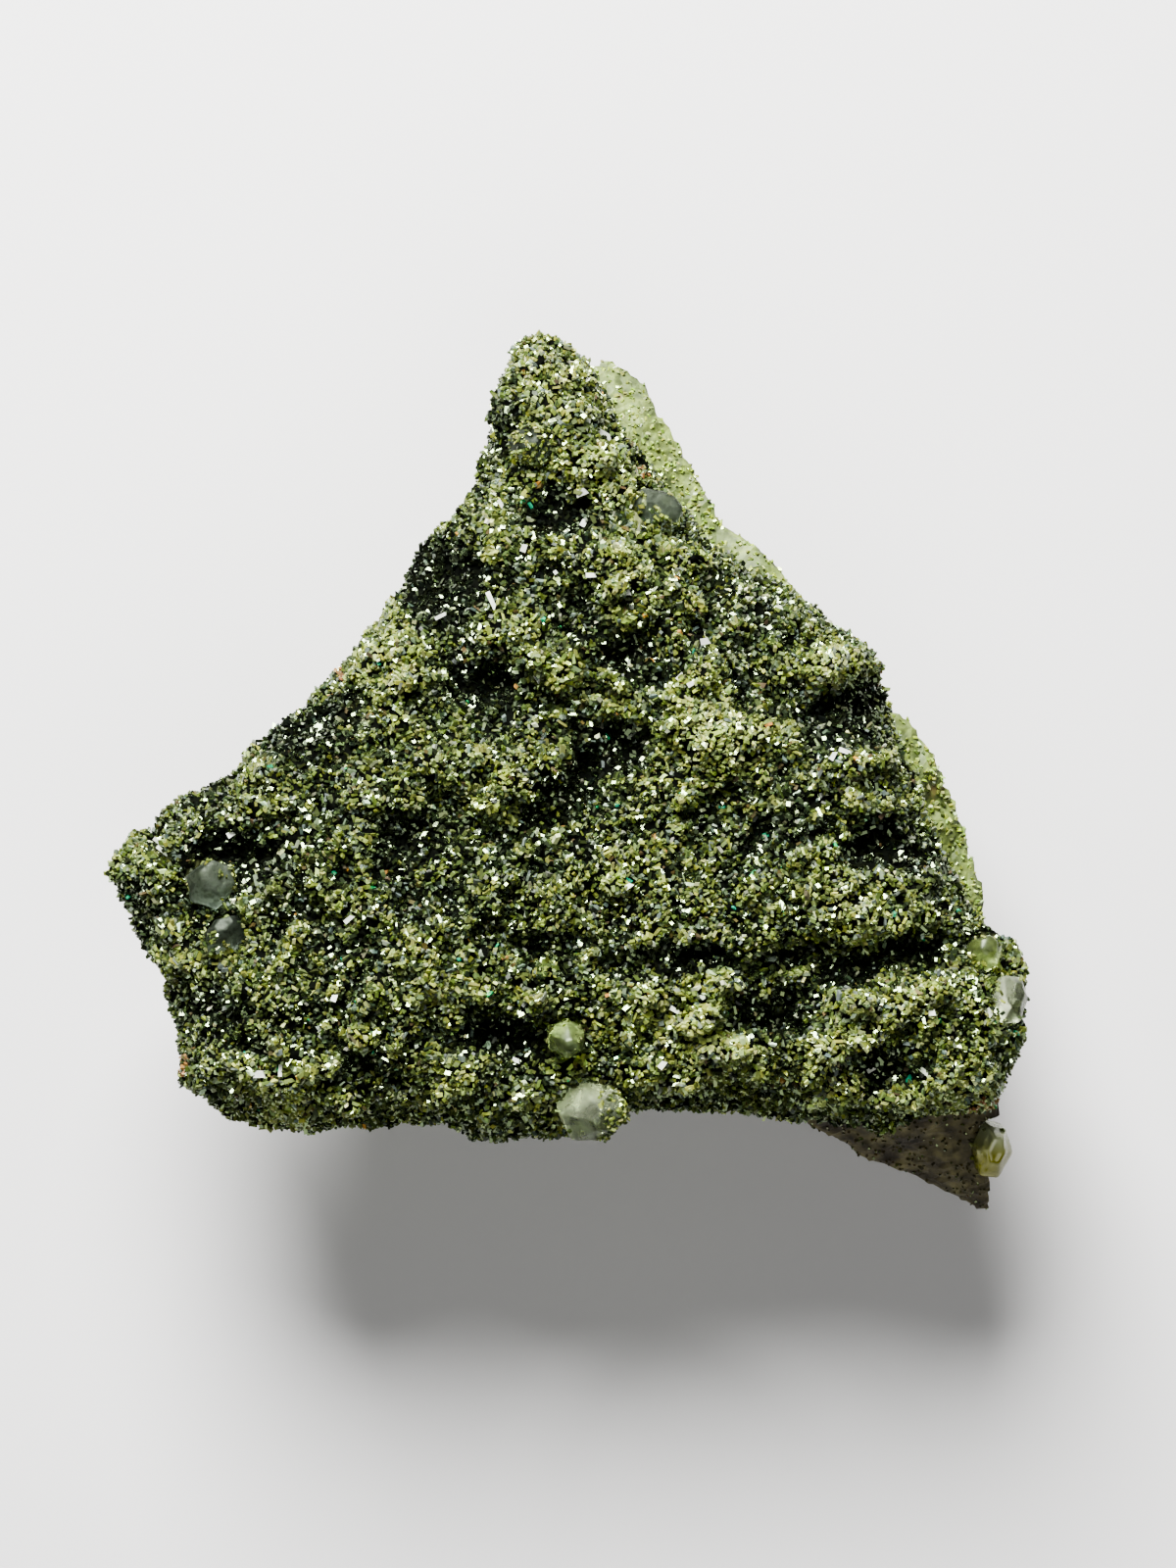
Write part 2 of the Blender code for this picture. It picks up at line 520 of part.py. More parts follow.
def quartz_form(width, length, tip, squeeze):
    """A short six-sided quartz crystal with a six-faced end, its foot at the origin."""
    bm = bmesh.new()
    bmesh.ops.create_cone(bm, cap_ends=True, segments=6, radius1=width / 2 * MM,
                          radius2=width / 2 * MM, depth=length * 0.55 * MM)
    bmesh.ops.translate(bm, verts=bm.verts, vec=(0, 0, length * 0.275 * MM))
    end = max(bm.faces, key=lambda face: face.calc_center_median().z)
    cap = bmesh.ops.extrude_discrete_faces(bm, faces=[end])["faces"][0]
    shift = Vector((0.10 * width, 0.06 * width, 0.45 * length)) * MM
    for corner in cap.verts:
        corner.co = Vector((corner.co.x * tip, corner.co.y * tip, corner.co.z)) + shift
    bmesh.ops.scale(bm, verts=bm.verts, vec=(1.0, squeeze, 1.0))
    return bm


def build_quartz(spec, foot_height, collection, cutters, finish, parent):
    """One quartz crystal, and the slightly larger form that clears its seat."""
    name, x, y, _, width, length, tip, squeeze, lean, spin = spec
    place = (Matrix.Translation(Vector((x, y, foot_height)) * MM)
             @ Matrix.Rotation(math.radians(lean[0]), 4, "Y")
             @ Matrix.Rotation(math.radians(-lean[1]), 4, "X")
             @ Matrix.Rotation(math.radians(spin), 4, "Z"))
    crystal = new_object(name, quartz_form(width, length, tip, squeeze), collection, finish, parent)
    crystal.matrix_local = place
    bm = quartz_form(width, length, tip, squeeze)
    middle = Vector((0, 0, length / 2 * MM))
    grown = 1 + 2 * GAP * 1.12 / (width * min(1.0, squeeze) * math.cos(math.pi / 6))
    taller = 1 + 2 * GAP * 1.12 / length
    for vert in bm.verts:
        offset = vert.co - middle
        vert.co = middle + Vector((offset.x * grown, offset.y * grown, offset.z * taller))
    seat = new_object(name + "_seat", bm, cutters, None, parent)
    seat.matrix_local = place
    seat.hide_render = True
    seat.display_type = "WIRE"
    return seat


def cut_seats(obj, seats):
    for seat in seats:
        cut = obj.modifiers.new(seat.name, "BOOLEAN")
        cut.operation = "DIFFERENCE"
        cut.object = seat
        cut.solver = "EXACT"


def centre_on_origin(collection, anchor):
    """Moves the anchor so that the middle of the specimen's underside is at the origin."""
    bpy.context.view_layer.update()
    graph = bpy.context.evaluated_depsgraph_get()
    corners = []
    for obj in collection.objects:
        evaluated = obj.evaluated_get(graph)
        corners += [evaluated.matrix_world @ vert.co for vert in evaluated.data.vertices]
    low = Vector([min(corner[k] for corner in corners) for k in range(3)])
    high = Vector([max(corner[k] for corner in corners) for k in range(3)])
    anchor.location -= Vector(((low.x + high.x) / 2, (low.y + high.y) / 2, low.z))


def main():
    for obj in list(bpy.data.objects):
        bpy.data.objects.remove(obj)
    specimen = new_collection("epidote_druse_specimen")
    cutters = new_collection("cutters")
    anchor = bpy.data.objects.new("specimen_anchor", None)
    bpy.context.scene.collection.objects.link(anchor)
    epidote = material("epidote", (0.075, 0.110, 0.020), 0.22, ior=1.75)
    rock = material("epidote_rock", (0.300, 0.360, 0.200), 0.80)
    quartz = material("quartz", (0.780, 0.820, 0.780), 0.06, transmission=0.9, ior=1.54)
    crust = build_crust(specimen, epidote, anchor)
    matrix = build_matrix(specimen, rock, anchor)
    seats = []
    for spec in QUARTZ:
        foot = druse_face(spec[1], spec[2]) - spec[3]
        seats.append(build_quartz(spec, foot, specimen, cutters, quartz, anchor))
    corner = build_quartz(CORNER_QUARTZ, CORNER_QUARTZ[3], specimen, cutters, quartz, anchor)
    cut_seats(crust, seats)
    cut_seats(matrix, seats + [corner])
    centre_on_origin(specimen, anchor)


main()
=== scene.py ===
import math
import bpy
import numpy as np
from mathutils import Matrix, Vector, noise


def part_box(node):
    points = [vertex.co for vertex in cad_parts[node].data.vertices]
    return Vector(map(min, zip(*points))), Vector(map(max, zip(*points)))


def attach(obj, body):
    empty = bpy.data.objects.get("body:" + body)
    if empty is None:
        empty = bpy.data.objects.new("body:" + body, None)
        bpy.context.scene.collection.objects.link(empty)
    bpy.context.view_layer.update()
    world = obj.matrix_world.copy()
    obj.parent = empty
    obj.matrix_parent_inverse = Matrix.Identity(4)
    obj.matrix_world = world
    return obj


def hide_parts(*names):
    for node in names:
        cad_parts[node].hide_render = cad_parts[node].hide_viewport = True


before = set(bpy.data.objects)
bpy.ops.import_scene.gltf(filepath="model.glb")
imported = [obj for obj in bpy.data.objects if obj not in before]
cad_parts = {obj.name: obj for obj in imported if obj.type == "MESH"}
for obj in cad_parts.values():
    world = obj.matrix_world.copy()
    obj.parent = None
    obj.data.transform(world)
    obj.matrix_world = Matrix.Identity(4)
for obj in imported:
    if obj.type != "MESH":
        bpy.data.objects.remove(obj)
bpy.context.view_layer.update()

mm = 0.001


def clearSelection():
    if bpy.context.object and bpy.context.object.mode != "OBJECT":
        bpy.ops.object.mode_set(mode="OBJECT")
    bpy.ops.object.select_all(action="DESELECT")


def pick(obj):
    clearSelection()
    obj.select_set(True)
    bpy.context.view_layer.objects.active = obj


def editWhole(obj, operator, **settings):
    # one edit-mode operator on the whole of a mesh
    pick(obj)
    bpy.ops.object.mode_set(mode="EDIT")
    bpy.ops.mesh.select_all(action="SELECT")
    operator(**settings)
    bpy.ops.object.mode_set(mode="OBJECT")


def copyOf(node, name):
    # a working copy of one CAD solid, with its loose triangles merged
    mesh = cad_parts[node].data.copy()
    mesh.name = name
    mesh.materials.clear()
    obj = bpy.data.objects.new(name, mesh)
    bpy.context.scene.collection.objects.link(obj)
    editWhole(obj, bpy.ops.mesh.remove_doubles, threshold=0.001 * mm)
    return obj


def finishWith(obj, kind, **settings):
    pick(obj)
    modifier = obj.modifiers.new(kind.lower(), kind)
    for key, value in settings.items():
        setattr(modifier, key, value)
    bpy.ops.object.modifier_apply(modifier=modifier.name)


def displace(obj, texture, depth, level):
    # the level is the texture's value that leaves the surface where it is
    finishWith(obj, "DISPLACE", texture=texture, texture_coords="LOCAL", strength=depth, mid_level=level)


def cornersOf(mesh):
    corners = np.empty(len(mesh.vertices) * 3)
    mesh.vertices.foreach_get("co", corners)
    return corners.reshape(-1, 3)


def cloudTexture(name, size, depth=2):
    texture = bpy.data.textures.new(name, "CLOUDS")
    texture.noise_scale = size
    texture.noise_depth = depth
    return texture


def cellTexture(name, size):
    texture = bpy.data.textures.new(name, "VORONOI")
    texture.noise_scale = size
    return texture


def place(obj, material, replaced=None):
    obj.data.materials.clear()
    obj.data.materials.append(material)
    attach(obj, "root")
    if replaced:
        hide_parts(replaced)


# Materials

def newMaterial(name):
    material = bpy.data.materials.new(name)
    material.use_nodes = True
    tree = material.node_tree
    return material, tree, tree.nodes["Principled BSDF"]


def addNode(tree, kind, **settings):
    node = tree.nodes.new(kind)
    for key, value in settings.items():
        if isinstance(key, str) and key in node.inputs:
            node.inputs[key].default_value = value
        else:
            setattr(node, key, value)
    return node


def objectPlace(tree):
    return addNode(tree, "ShaderNodeTexCoord").outputs["Object"]


def noiseValue(tree, scaleAndDetail, roughness=0.55):
    scale, detail = scaleAndDetail
    node = addNode(tree, "ShaderNodeTexNoise", Scale=scale, Detail=detail, Roughness=roughness)
    tree.links.new(objectPlace(tree), node.inputs["Vector"])
    return node.outputs["Fac"]


def rampNode(tree, source, stops):
    # each stop has its position and its colour
    node = addNode(tree, "ShaderNodeValToRGB")
    elements = node.color_ramp.elements
    while len(elements) < len(stops):
        elements.new(0.5)
    for element, (position, colour) in zip(elements, stops):
        element.position = position
        element.color = (*colour, 1.0)
    tree.links.new(source, node.inputs["Fac"])
    return node.outputs["Color"]


def greyRamp(tree, source, stops):
    # each stop has its position and its grey value
    return rampNode(tree, source, [(position, (value,) * 3) for position, value in stops])


def fadeNode(tree, source, ends, values):
    node = addNode(tree, "ShaderNodeMapRange")
    for name, value in zip(("From Min", "From Max", "To Min", "To Max"), (*ends, *values)):
        node.inputs[name].default_value = value
    tree.links.new(source, node.inputs["Value"])
    return node.outputs["Result"]


def mixColours(tree, factor, first, second, blend="MIX"):
    node = addNode(tree, "ShaderNodeMix", data_type="RGBA", blend_type=blend)
    for socket, value in ((node.inputs[0], factor), (node.inputs[6], first), (node.inputs[7], second)):
        if isinstance(value, bpy.types.NodeSocket):
            tree.links.new(value, socket)
        else:
            socket.default_value = value
    return node.outputs[2]


def multiply(tree, first, second):
    return mixColours(tree, 1.0, first, second, "MULTIPLY")


def bumpFrom(tree, shader, height, distance, strength=0.6):
    bump = addNode(tree, "ShaderNodeBump", Strength=strength, Distance=distance)
    tree.links.new(height, bump.inputs["Height"])
    tree.links.new(bump.outputs["Normal"], shader.inputs["Normal"])


epidoteLook = {
    "roughness": 0.13,
    "ior": 1.75,
    "glint": (0.80, 1.0, 0.60),  # the facets shine a little green
    "streaks": (2600.0, 2.0),  # the fine growth lines on the faces: scale and detail of the noise
    "streakRamp": ((0.3, 0.72), (0.7, 1.0)),
    "streakDepth": 0.01 * mm,
}


def epidoteMaterial():
    material, tree, shader = newMaterial("epidoteCrystal")
    tint = addNode(tree, "ShaderNodeAttribute", attribute_name="tint")
    streaks = noiseValue(tree, epidoteLook["streaks"])
    shade = greyRamp(tree, streaks, epidoteLook["streakRamp"])
    tree.links.new(multiply(tree, tint.outputs["Color"], shade), shader.inputs["Base Color"])
    shader.inputs["Roughness"].default_value = epidoteLook["roughness"]
    shader.inputs["IOR"].default_value = epidoteLook["ior"]
    shader.inputs["Specular Tint"].default_value = (*epidoteLook["glint"], 1.0)
    bumpFrom(tree, shader, streaks, epidoteLook["streakDepth"])
    return material


bedLook = {
    # near black: painted shade for the gaps between the crystals
    "dark": (0.004, 0.005, 0.003),
    "underQuartz": (0.300, 0.330, 0.160),  # what shows through the quartz
    "roughness": 0.85,
    "shine": 0.06,
    "grain": (1900.0, 4.0),
    "grainRamp": ((0.35, 0.25), (0.65, 1.2)),
    "grainDepth": 0.1 * mm,
}


def bedMaterial():
    material, tree, shader = newMaterial("epidoteBed")
    tint = addNode(tree, "ShaderNodeAttribute", attribute_name="tint")
    grain = noiseValue(tree, bedLook["grain"])
    shade = greyRamp(tree, grain, bedLook["grainRamp"])
    tree.links.new(multiply(tree, tint.outputs["Color"], shade), shader.inputs["Base Color"])
    shader.inputs["Roughness"].default_value = bedLook["roughness"]
    shader.inputs["Specular IOR Level"].default_value = bedLook["shine"]
    bumpFrom(tree, shader, grain, bedLook["grainDepth"])
    return material


rockLook = {
    "pale": (0.154, 0.196, 0.056),
    "sage": (0.096, 0.127, 0.043),
    "dark": (0.096, 0.080, 0.043),  # the stained fin
    "rust": (0.190, 0.120, 0.050),
    "patches": (620.0, 3.0),
    "patchStops": (0.40, 0.50, 0.66),  # sage, pale and sage again
    "grain": (1500.0, 4.0),
    "grainRamp": ((0.30, 0.45), (0.62, 1.1)),
    "grainDepth": 0.15 * mm,
    "rustPatches": (420.0, 5.0),
    "rustRamp": ((0.62, 0.0), (0.72, 1.0)),
    "finPlace": (0.0195, -0.0215, 0.011),
    "finReach": (0.0085, 0.01275),  # m, where the stain begins to fade, and where it ends
    "finRamp": ((0.38, (0.50, 0.48, 0.50)), (0.62, (1.45, 1.55, 1.35))),
    "roughness": 0.62,
}


def rockMaterial():
    material, tree, shader = newMaterial("sageRock")
    patches = noiseValue(tree, rockLook["patches"])
    grain = noiseValue(tree, rockLook["grain"])
    greens = rockLook["sage"], rockLook["pale"], rockLook["sage"]
    base = rampNode(tree, patches, list(zip(rockLook["patchStops"], greens)))
    speck = greyRamp(tree, grain, rockLook["grainRamp"])
    rusty = greyRamp(tree, noiseValue(tree, rockLook["rustPatches"]), rockLook["rustRamp"])
    colour = mixColours(tree, rusty, multiply(tree, base, speck), (*rockLook["rust"], 1.0))
    # the stain on the fin fades with the distance from it
    away = addNode(tree, "ShaderNodeVectorMath", operation="DISTANCE")
    away.inputs[1].default_value = rockLook["finPlace"]
    tree.links.new(objectPlace(tree), away.inputs[0])
    fade = fadeNode(tree, away.outputs["Value"], rockLook["finReach"], (1.0, 0.0))
    mottle = rampNode(tree, patches, rockLook["finRamp"])
    stain = multiply(tree, multiply(tree, (*rockLook["dark"], 1.0), speck), mottle)
    tree.links.new(mixColours(tree, fade, colour, stain), shader.inputs["Base Color"])
    shader.inputs["Roughness"].default_value = rockLook["roughness"]
    bumpFrom(tree, shader, grain, rockLook["grainDepth"])
    return material


quartzLook = {
    "ior": 1.55,
    "glint": (0.72, 0.82, 0.66),
    "grain": (1400.0, 4.0),
    "bumpStrength": 0.5,
    "frostPatches": (700.0, 3.0),
    "frostStops": (0.42, 0.60),
    "specks": (2400.0, 2.0),  # the dark specks that show in a crystal
    "speckStops": (0.42, 0.58),
}
quartzFinishes = {
    "mossy": {
        "roughness": (0.22, 0.40),  # of the smoothest and the roughest patches
        "shine": 0.22,
        "transmission": 0.95,
        "base": (0.57, 0.65, 0.35),
        "absorbed": (0.74, 0.84, 0.54),  # the colour that is left after the absorption
        "density": 420.0,
        "grainDepth": 0.03 * mm,
        "specks": (0.60, 1.0),  # the darkest and the lightest shade
    },
    "frosted": {
        "roughness": (0.22, 0.42),
        "shine": 0.30,
        "transmission": 0.97,
        "base": (0.84, 0.88, 0.76),
        "absorbed": (0.80, 0.85, 0.66),
        "density": 420.0,
        "grainDepth": 0.03 * mm,
        "specks": (0.75, 1.0),
    },
    "smoky": {
        "roughness": (0.55, 0.75),
        "shine": 0.02,
        "transmission": 1.0,
        "base": (0.80, 0.82, 0.83),
        "absorbed": (0.56, 0.63, 0.54),
        "density": 850.0,
        "grainDepth": 0.20 * mm,
        "specks": (0.40, 1.0),
    },
}
knobLook = {  # the crystal on the fin: paler at its top, stained yellow-green below
    "top": (0.50, 0.55, 0.38),
    "stained": (0.200, 0.200, 0.020),
    "stainEnds": (-0.0204, -0.0190),  # m along Y, where the stain begins to fade, and where it ends
    "transmission": 0.48,
    "roughness": 0.16,
    "grainDepth": 0.03 * mm,
}


def quartzMaterial(name, finish):
    material, tree, shader = newMaterial(name)
    specks = noiseValue(tree, quartzLook["specks"])
    shade = greyRamp(tree, specks, zip(quartzLook["speckStops"], finish["specks"]))
    tree.links.new(multiply(tree, (*finish["base"], 1.0), shade), shader.inputs["Base Color"])
    patches = noiseValue(tree, quartzLook["frostPatches"])
    frost = greyRamp(tree, patches, zip(quartzLook["frostStops"], finish["roughness"]))
    tree.links.new(frost, shader.inputs["Roughness"])
    shader.inputs["IOR"].default_value = quartzLook["ior"]
    shader.inputs["Specular IOR Level"].default_value = finish["shine"]
    shader.inputs["Specular Tint"].default_value = (*quartzLook["glint"], 1.0)
    shader.inputs["Transmission Weight"].default_value = finish["transmission"]
    volume = addNode(tree, "ShaderNodeVolumeAbsorption", Density=finish["density"])
    volume.inputs["Color"].default_value = (*finish["absorbed"], 1.0)
    tree.links.new(volume.outputs["Volume"], tree.nodes["Material Output"].inputs["Volume"])
    grain = noiseValue(tree, quartzLook["grain"])
    bumpFrom(tree, shader, grain, finish["grainDepth"], quartzLook["bumpStrength"])
    return material


def knobMaterial():
    material, tree, shader = newMaterial("quartzStained")
    parts = addNode(tree, "ShaderNodeSeparateXYZ")
    tree.links.new(objectPlace(tree), parts.inputs[0])
    fade = fadeNode(tree, parts.outputs["Y"], knobLook["stainEnds"], (0.0, 1.0))
    colour = mixColours(tree, fade, (*knobLook["stained"], 1.0), (*knobLook["top"], 1.0))
    tree.links.new(colour, shader.inputs["Base Color"])
    shader.inputs["Roughness"].default_value = knobLook["roughness"]
    shader.inputs["IOR"].default_value = quartzLook["ior"]
    shader.inputs["Transmission Weight"].default_value = knobLook["transmission"]
    grain = noiseValue(tree, quartzLook["grain"])
    bumpFrom(tree, shader, grain, knobLook["grainDepth"], quartzLook["bumpStrength"])
    return material


epidote = epidoteMaterial()
epidoteBed = bedMaterial()
sageRock = rockMaterial()
quartzMossy = quartzMaterial("quartzMossy", quartzFinishes["mossy"])
quartzFrosted = quartzMaterial("quartzFrosted", quartzFinishes["frosted"])
quartzSmoky = quartzMaterial("quartzSmoky", quartzFinishes["smoky"])
quartzStained = knobMaterial()
print("materials made")


# The rock, broken finer than its solid

rock = {
    "voxel": 0.46 * mm,
    "lumpSize": 1.6 * mm,
    "lumpDepth": 0.45 * mm,
    "lumpLevel": 0.62,
    "grainSize": 0.45 * mm,
    "grainDepth": 0.30 * mm,
    "grainLevel": 0.6,
    "seatReach": 1.7,  # how far from the corner's quartz the rock is held, where 1 is the crystal's rim
    "seatFade": 0.4,
    "seatClosing": 0.30 * mm,
}


def largestPart(obj):
    # drops the small bits that the displacing has cut loose
    name = obj.name
    editWhole(obj, bpy.ops.mesh.separate, type="LOOSE")
    parts = sorted(bpy.context.selected_objects, key=lambda part: len(part.data.vertices))
    for part in parts[:-1]:
        bpy.data.objects.remove(part)
    parts[-1].name = name
    return parts[-1]


def closeSeat(obj, plain):
    # around the corner's quartz the rock keeps its solid's shape and is drawn up to the crystal
    low, high = (np.array(corner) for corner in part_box("quartz_corner"))
    offset = plain - (low + high) / 2
    away = np.linalg.norm(offset / ((high - low) / 2), axis=1)
    held = np.clip((rock["seatReach"] - away) / rock["seatFade"], 0, 1)[:, None]
    inward = -offset / np.maximum(np.linalg.norm(offset, axis=1), 1e-9)[:, None]
    corners = cornersOf(obj.data)
    corners += (plain + inward * rock["seatClosing"] * held - corners) * held
    obj.data.vertices.foreach_set("co", corners.reshape(-1))


def makeRock():
    obj = copyOf("rock_matrix", "rock")
    finishWith(obj, "REMESH", mode="VOXEL", voxel_size=rock["voxel"])
    plain = cornersOf(obj.data)
    displace(obj, cloudTexture("rockLumps", rock["lumpSize"]), rock["lumpDepth"], rock["lumpLevel"])
    displace(obj, cloudTexture("rockGrains", rock["grainSize"], 1), rock["grainDepth"], rock["grainLevel"])
    closeSeat(obj, plain)
    for vert in obj.data.vertices:  # the foot stays flat
        vert.co.z = max(vert.co.z, 0.0)
    obj = largestPart(obj)
    place(obj, sageRock, "rock_matrix")
    return obj


sageBlock = makeRock()
print("rock made")


quartzPieces = {  # node: (piece, look, how pale the bed beneath it is)
    "quartz_left": ("quartzLeft", quartzSmoky, 0.55),
    "quartz_left_lower": ("quartzLeftLower", quartzSmoky, 0.70),
    "quartz_middle": ("quartzMiddle", quartzMossy, 0.80),
    "quartz_bottom": ("quartzBottom", quartzFrosted, 0.60),
    "quartz_right": ("quartzRight", quartzFrosted, 0.25),
    "quartz_right_inner": ("quartzRightInner", quartzMossy, 0.50),
    "quartz_upper": ("quartzUpper", quartzSmoky, 0.55),
    "quartz_tip": ("quartzTip", quartzSmoky, 0.40),
    "quartz_corner": ("quartzCorner", quartzStained, 1.0),
}


# The bed of the druse: the lumps that the small crystals grow on

bed = {
    "voxel": 0.36 * mm,
    "smoothing": 0.5,
    "smoothingRounds": 4,
    "lumpSize": 2.3 * mm,  # round lumps with creases between them
    "lumpDepth": 0.62 * mm,
    "nubSize": 0.8 * mm,
    "nubDepth": 0.18 * mm,
    "lumpLevel": 0.45,
    "swellSize": 1.3 * mm,  # uneven swelling that keeps the lumps from looking alike
    "swellDepth": 0.55 * mm,
    "swellLevel": 0.5,
    # distances from a quartz crystal's middle, where 1 is its rim: within the first the bed is
    # pale, within the second it has no lumps, and beyond the third it has them in full
    "quartzPale": 1.0,
    "quartzSmooth": 1.1,
    "quartzFree": 1.5,
    "quartzDip": 0.20 * mm,
}


def awayFromQuartz(places):
    # distance from the nearest quartz crystal's middle, as seen from above, where 1 is its rim,
    # and how pale the bed is there
    away, pale = np.full(len(places), 10.0), np.zeros(len(places))
    for node, (_, _, paleness) in quartzPieces.items():
        low, high = (np.array(corner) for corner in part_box(node))
        half, middle = (high - low) / 2, (high + low) / 2
        offset = (places - middle) / half
        across = np.hypot(offset[:, 0], offset[:, 1])
        nearer = (offset[:, 2] > -2.0) & (across < away)
        away[nearer], pale[nearer] = across[nearer], paleness
    return away, pale


def addTint(mesh, colours):
    attribute = mesh.attributes.new("tint", "FLOAT_COLOR", "POINT")
    attribute.data.foreach_set("color", colours.reshape(-1).astype(np.float32))


def makeBed():
    obj = copyOf("epidote_crust", "druseBed")
    finishWith(obj, "REMESH", mode="VOXEL", voxel_size=bed["voxel"])
    finishWith(obj, "SMOOTH", factor=bed["smoothing"], iterations=bed["smoothingRounds"])
    plain = cornersOf(obj.data)
    displace(obj, cellTexture("druseLumps", bed["lumpSize"]), -bed["lumpDepth"], bed["lumpLevel"])
    displace(obj, cellTexture("druseNubs", bed["nubSize"]), -bed["nubDepth"], bed["lumpLevel"])
    displace(obj, cloudTexture("druseSwells", bed["swellSize"]), bed["swellDepth"], bed["swellLevel"])
    corners = cornersOf(obj.data)
    away, pale = awayFromQuartz(plain)
    free, smooth = bed["quartzFree"], bed["quartzSmooth"]
    held = np.clip((free - away) / (free - smooth), 0, 1)[:, None]
    corners += (plain - [0, 0, bed["quartzDip"]] - corners) * held
    obj.data.vertices.foreach_set("co", corners.reshape(-1))
    finishWith(obj, "TRIANGULATE")
    colours = np.ones((len(corners), 4))
    # the bed is near black as painted shade between the crystals, and paler under the quartz
    colours[:, :3] = bedLook["dark"]
    under = away < bed["quartzPale"]
    colours[under, :3] = np.array(bedLook["underQuartz"]) * pale[under, None]
    addTint(obj.data, colours)
    place(obj, epidoteBed, "epidote_crust")
    return obj


druseBed = makeBed()
print("bed made")


# Quartz crystals, from their solids, with softened edges and slightly uneven faces

quartzForm = {
    "flatAngle": 0.02,  # faces that turn less than this are one facet
    "edgeAngle": 0.3,  # edges sharper than this are softened
    "edge": 0.12 * mm,
    "edgeSteps": 2,
    "splits": 2,  # how often each face is divided for the unevenness
    "unevenSize": 1.3 * mm,
    "unevenDepth": 0.24 * mm,
    "unevenLevel": 0.52,
    "chipSize": 0.8 * mm,
    "chipDepth": 0.04 * mm,
    "chipLevel": 0.5,
    "smoothAngle": math.radians(28),
}


def makeQuartz(node, name, look):
    obj = copyOf(node, name)
    editWhole(obj, bpy.ops.mesh.dissolve_limited, angle_limit=quartzForm["flatAngle"])
    finishWith(obj, "BEVEL", width=quartzForm["edge"], segments=quartzForm["edgeSteps"],
               limit_method="ANGLE", angle_limit=quartzForm["edgeAngle"])
    finishWith(obj, "TRIANGULATE")
    finishWith(obj, "SUBSURF", subdivision_type="SIMPLE", levels=quartzForm["splits"])
    uneven = cloudTexture(name + "Uneven", quartzForm["unevenSize"], 1)
    displace(obj, uneven, quartzForm["unevenDepth"], quartzForm["unevenLevel"])
    chips = cellTexture(name + "Chips", quartzForm["chipSize"])
    displace(obj, chips, -quartzForm["chipDepth"], quartzForm["chipLevel"])
    bpy.ops.object.shade_smooth_by_angle(angle=quartzForm["smoothAngle"])
    place(obj, look, node)
    return obj


quartzMade = {}
for quartzNode, (quartzName, quartzSurface, _) in quartzPieces.items():
    quartzMade[quartzNode] = makeQuartz(quartzNode, quartzName, quartzSurface)
print("quartz made")


# The epidote crystals: thousands of small slanted and roofed prisms

crystals = {
    "seed": 5,
    "bands": 5,  # pieces that the druse's crystals are parted into, from the bottom to the tip
    "rooted": 0.28,  # share of a crystal's length that is in what it grows on
    "roofedShare": 0.28,  # share of the crystals that end in a roof
    "taper": 0.12,  # how much narrower its end is
    "slopeFade": 0.4,  # the crystals thin out over this much slope
    "sizePatch": 2.6,  # mm, neighbours within it are alike in size
    "sizeShift": 9.0,  # picks another part of the noise
    "sizeSwing": 0.35,
    "bundleSize": 1.1,  # mm, neighbours within it lean alike
    "bundleLean": 1.2,
    "chanceLean": 0.65,
    "leanShare": 0.8,
    "upright": (0.3, 1.0),  # weight of the surface's own direction
    "brightness": (0.7, 1.35),
    "tintRange": ((0.88, 0.94, 0.70), (1.12, 1.06, 1.30)),  # lowest and highest, by channel
    "pitThinning": 0.25,  # share of the crystals that is missing from a pit's middle
    "pitPaintedShade": 2.6,  # and how much darker those there are, as painted shade
    "pitStrays": 0.5,  # share of the stray tints, the painted glints among them, that is missing there, as painted shade
    "pitNarrowing": 0.8,
    "pitSharpness": 1.5,
    "quartzMargin": 0.84,  # crystals keep this far from a quartz crystal's middle, where 1 is its rim
}
druseGrowth = {
    "count": 48000,
    "length": (0.26, 0.58),  # mm
    "width": (0.14, 0.27),
    "flatness": (0.55, 1.0),
    "sideways": 1.15,  # how far the crystals lean from the surface's own direction
    "lowestSlope": -0.45,  # of the surfaces that carry them, where 1 is level
}
ledgeGrowth = {  # finer ones on the lit top of the rock
    "count": 6500,
    "length": (0.18, 0.36),
    "width": (0.11, 0.19),
    "flatness": (0.6, 1.0),
    "sideways": 1.3,
    "lowestSlope": 0.05,
    "above": 0.0085,  # m, lowest place that carries them
}
finGrowth = {  # dull dark ones under the druse's edge, on the fin
    "count": 420,
    "length": (0.10, 0.22),
    "width": (0.08, 0.15),
    "flatness": (0.5, 0.9),
    "sideways": 1.5,
    "lowestSlope": 0.05,
    "corner": (0.0075, -0.0165),  # m, they lie to the right of and below this place
}
overGrowth = {  # over the edges of the quartz
    "length": (0.20, 0.40),
    "width": (0.12, 0.20),
    "flatness": (0.6, 1.0),
    "sideways": 1.2,
    "lowestSlope": -0.3,
    "rimFrom": 0.8,  # where the rim begins, from the crystal's middle
    "rimShare": 0.35,  # how thickly they stand on it, next to the side that they come from
}
overGrown = {
    # crystals over each quartz crystal, the side that they come from, in x and y, and how near
    # to the crystal's middle they begin, where 1 is its rim and -1 the far one
    "quartz_left": (50, 1.0, 0.3, 0.22), "quartz_left_lower": (70, -0.8, -0.6, 0.1),
    "quartz_middle": (10, 0.2, 1.0, 0.5), "quartz_bottom": (140, 1.0, 0.1, 0.22),
    "quartz_right": (30, -1.0, -0.3, 0.22), "quartz_right_inner": (50, -0.6, -1.0, 0.22),
    "quartz_upper": (120, -0.7, -0.7, -0.1), "quartz_tip": (230, 0.4, -1.0, -1.2),
    "quartz_corner": (4, -1.0, 0.4, 0.5),
}
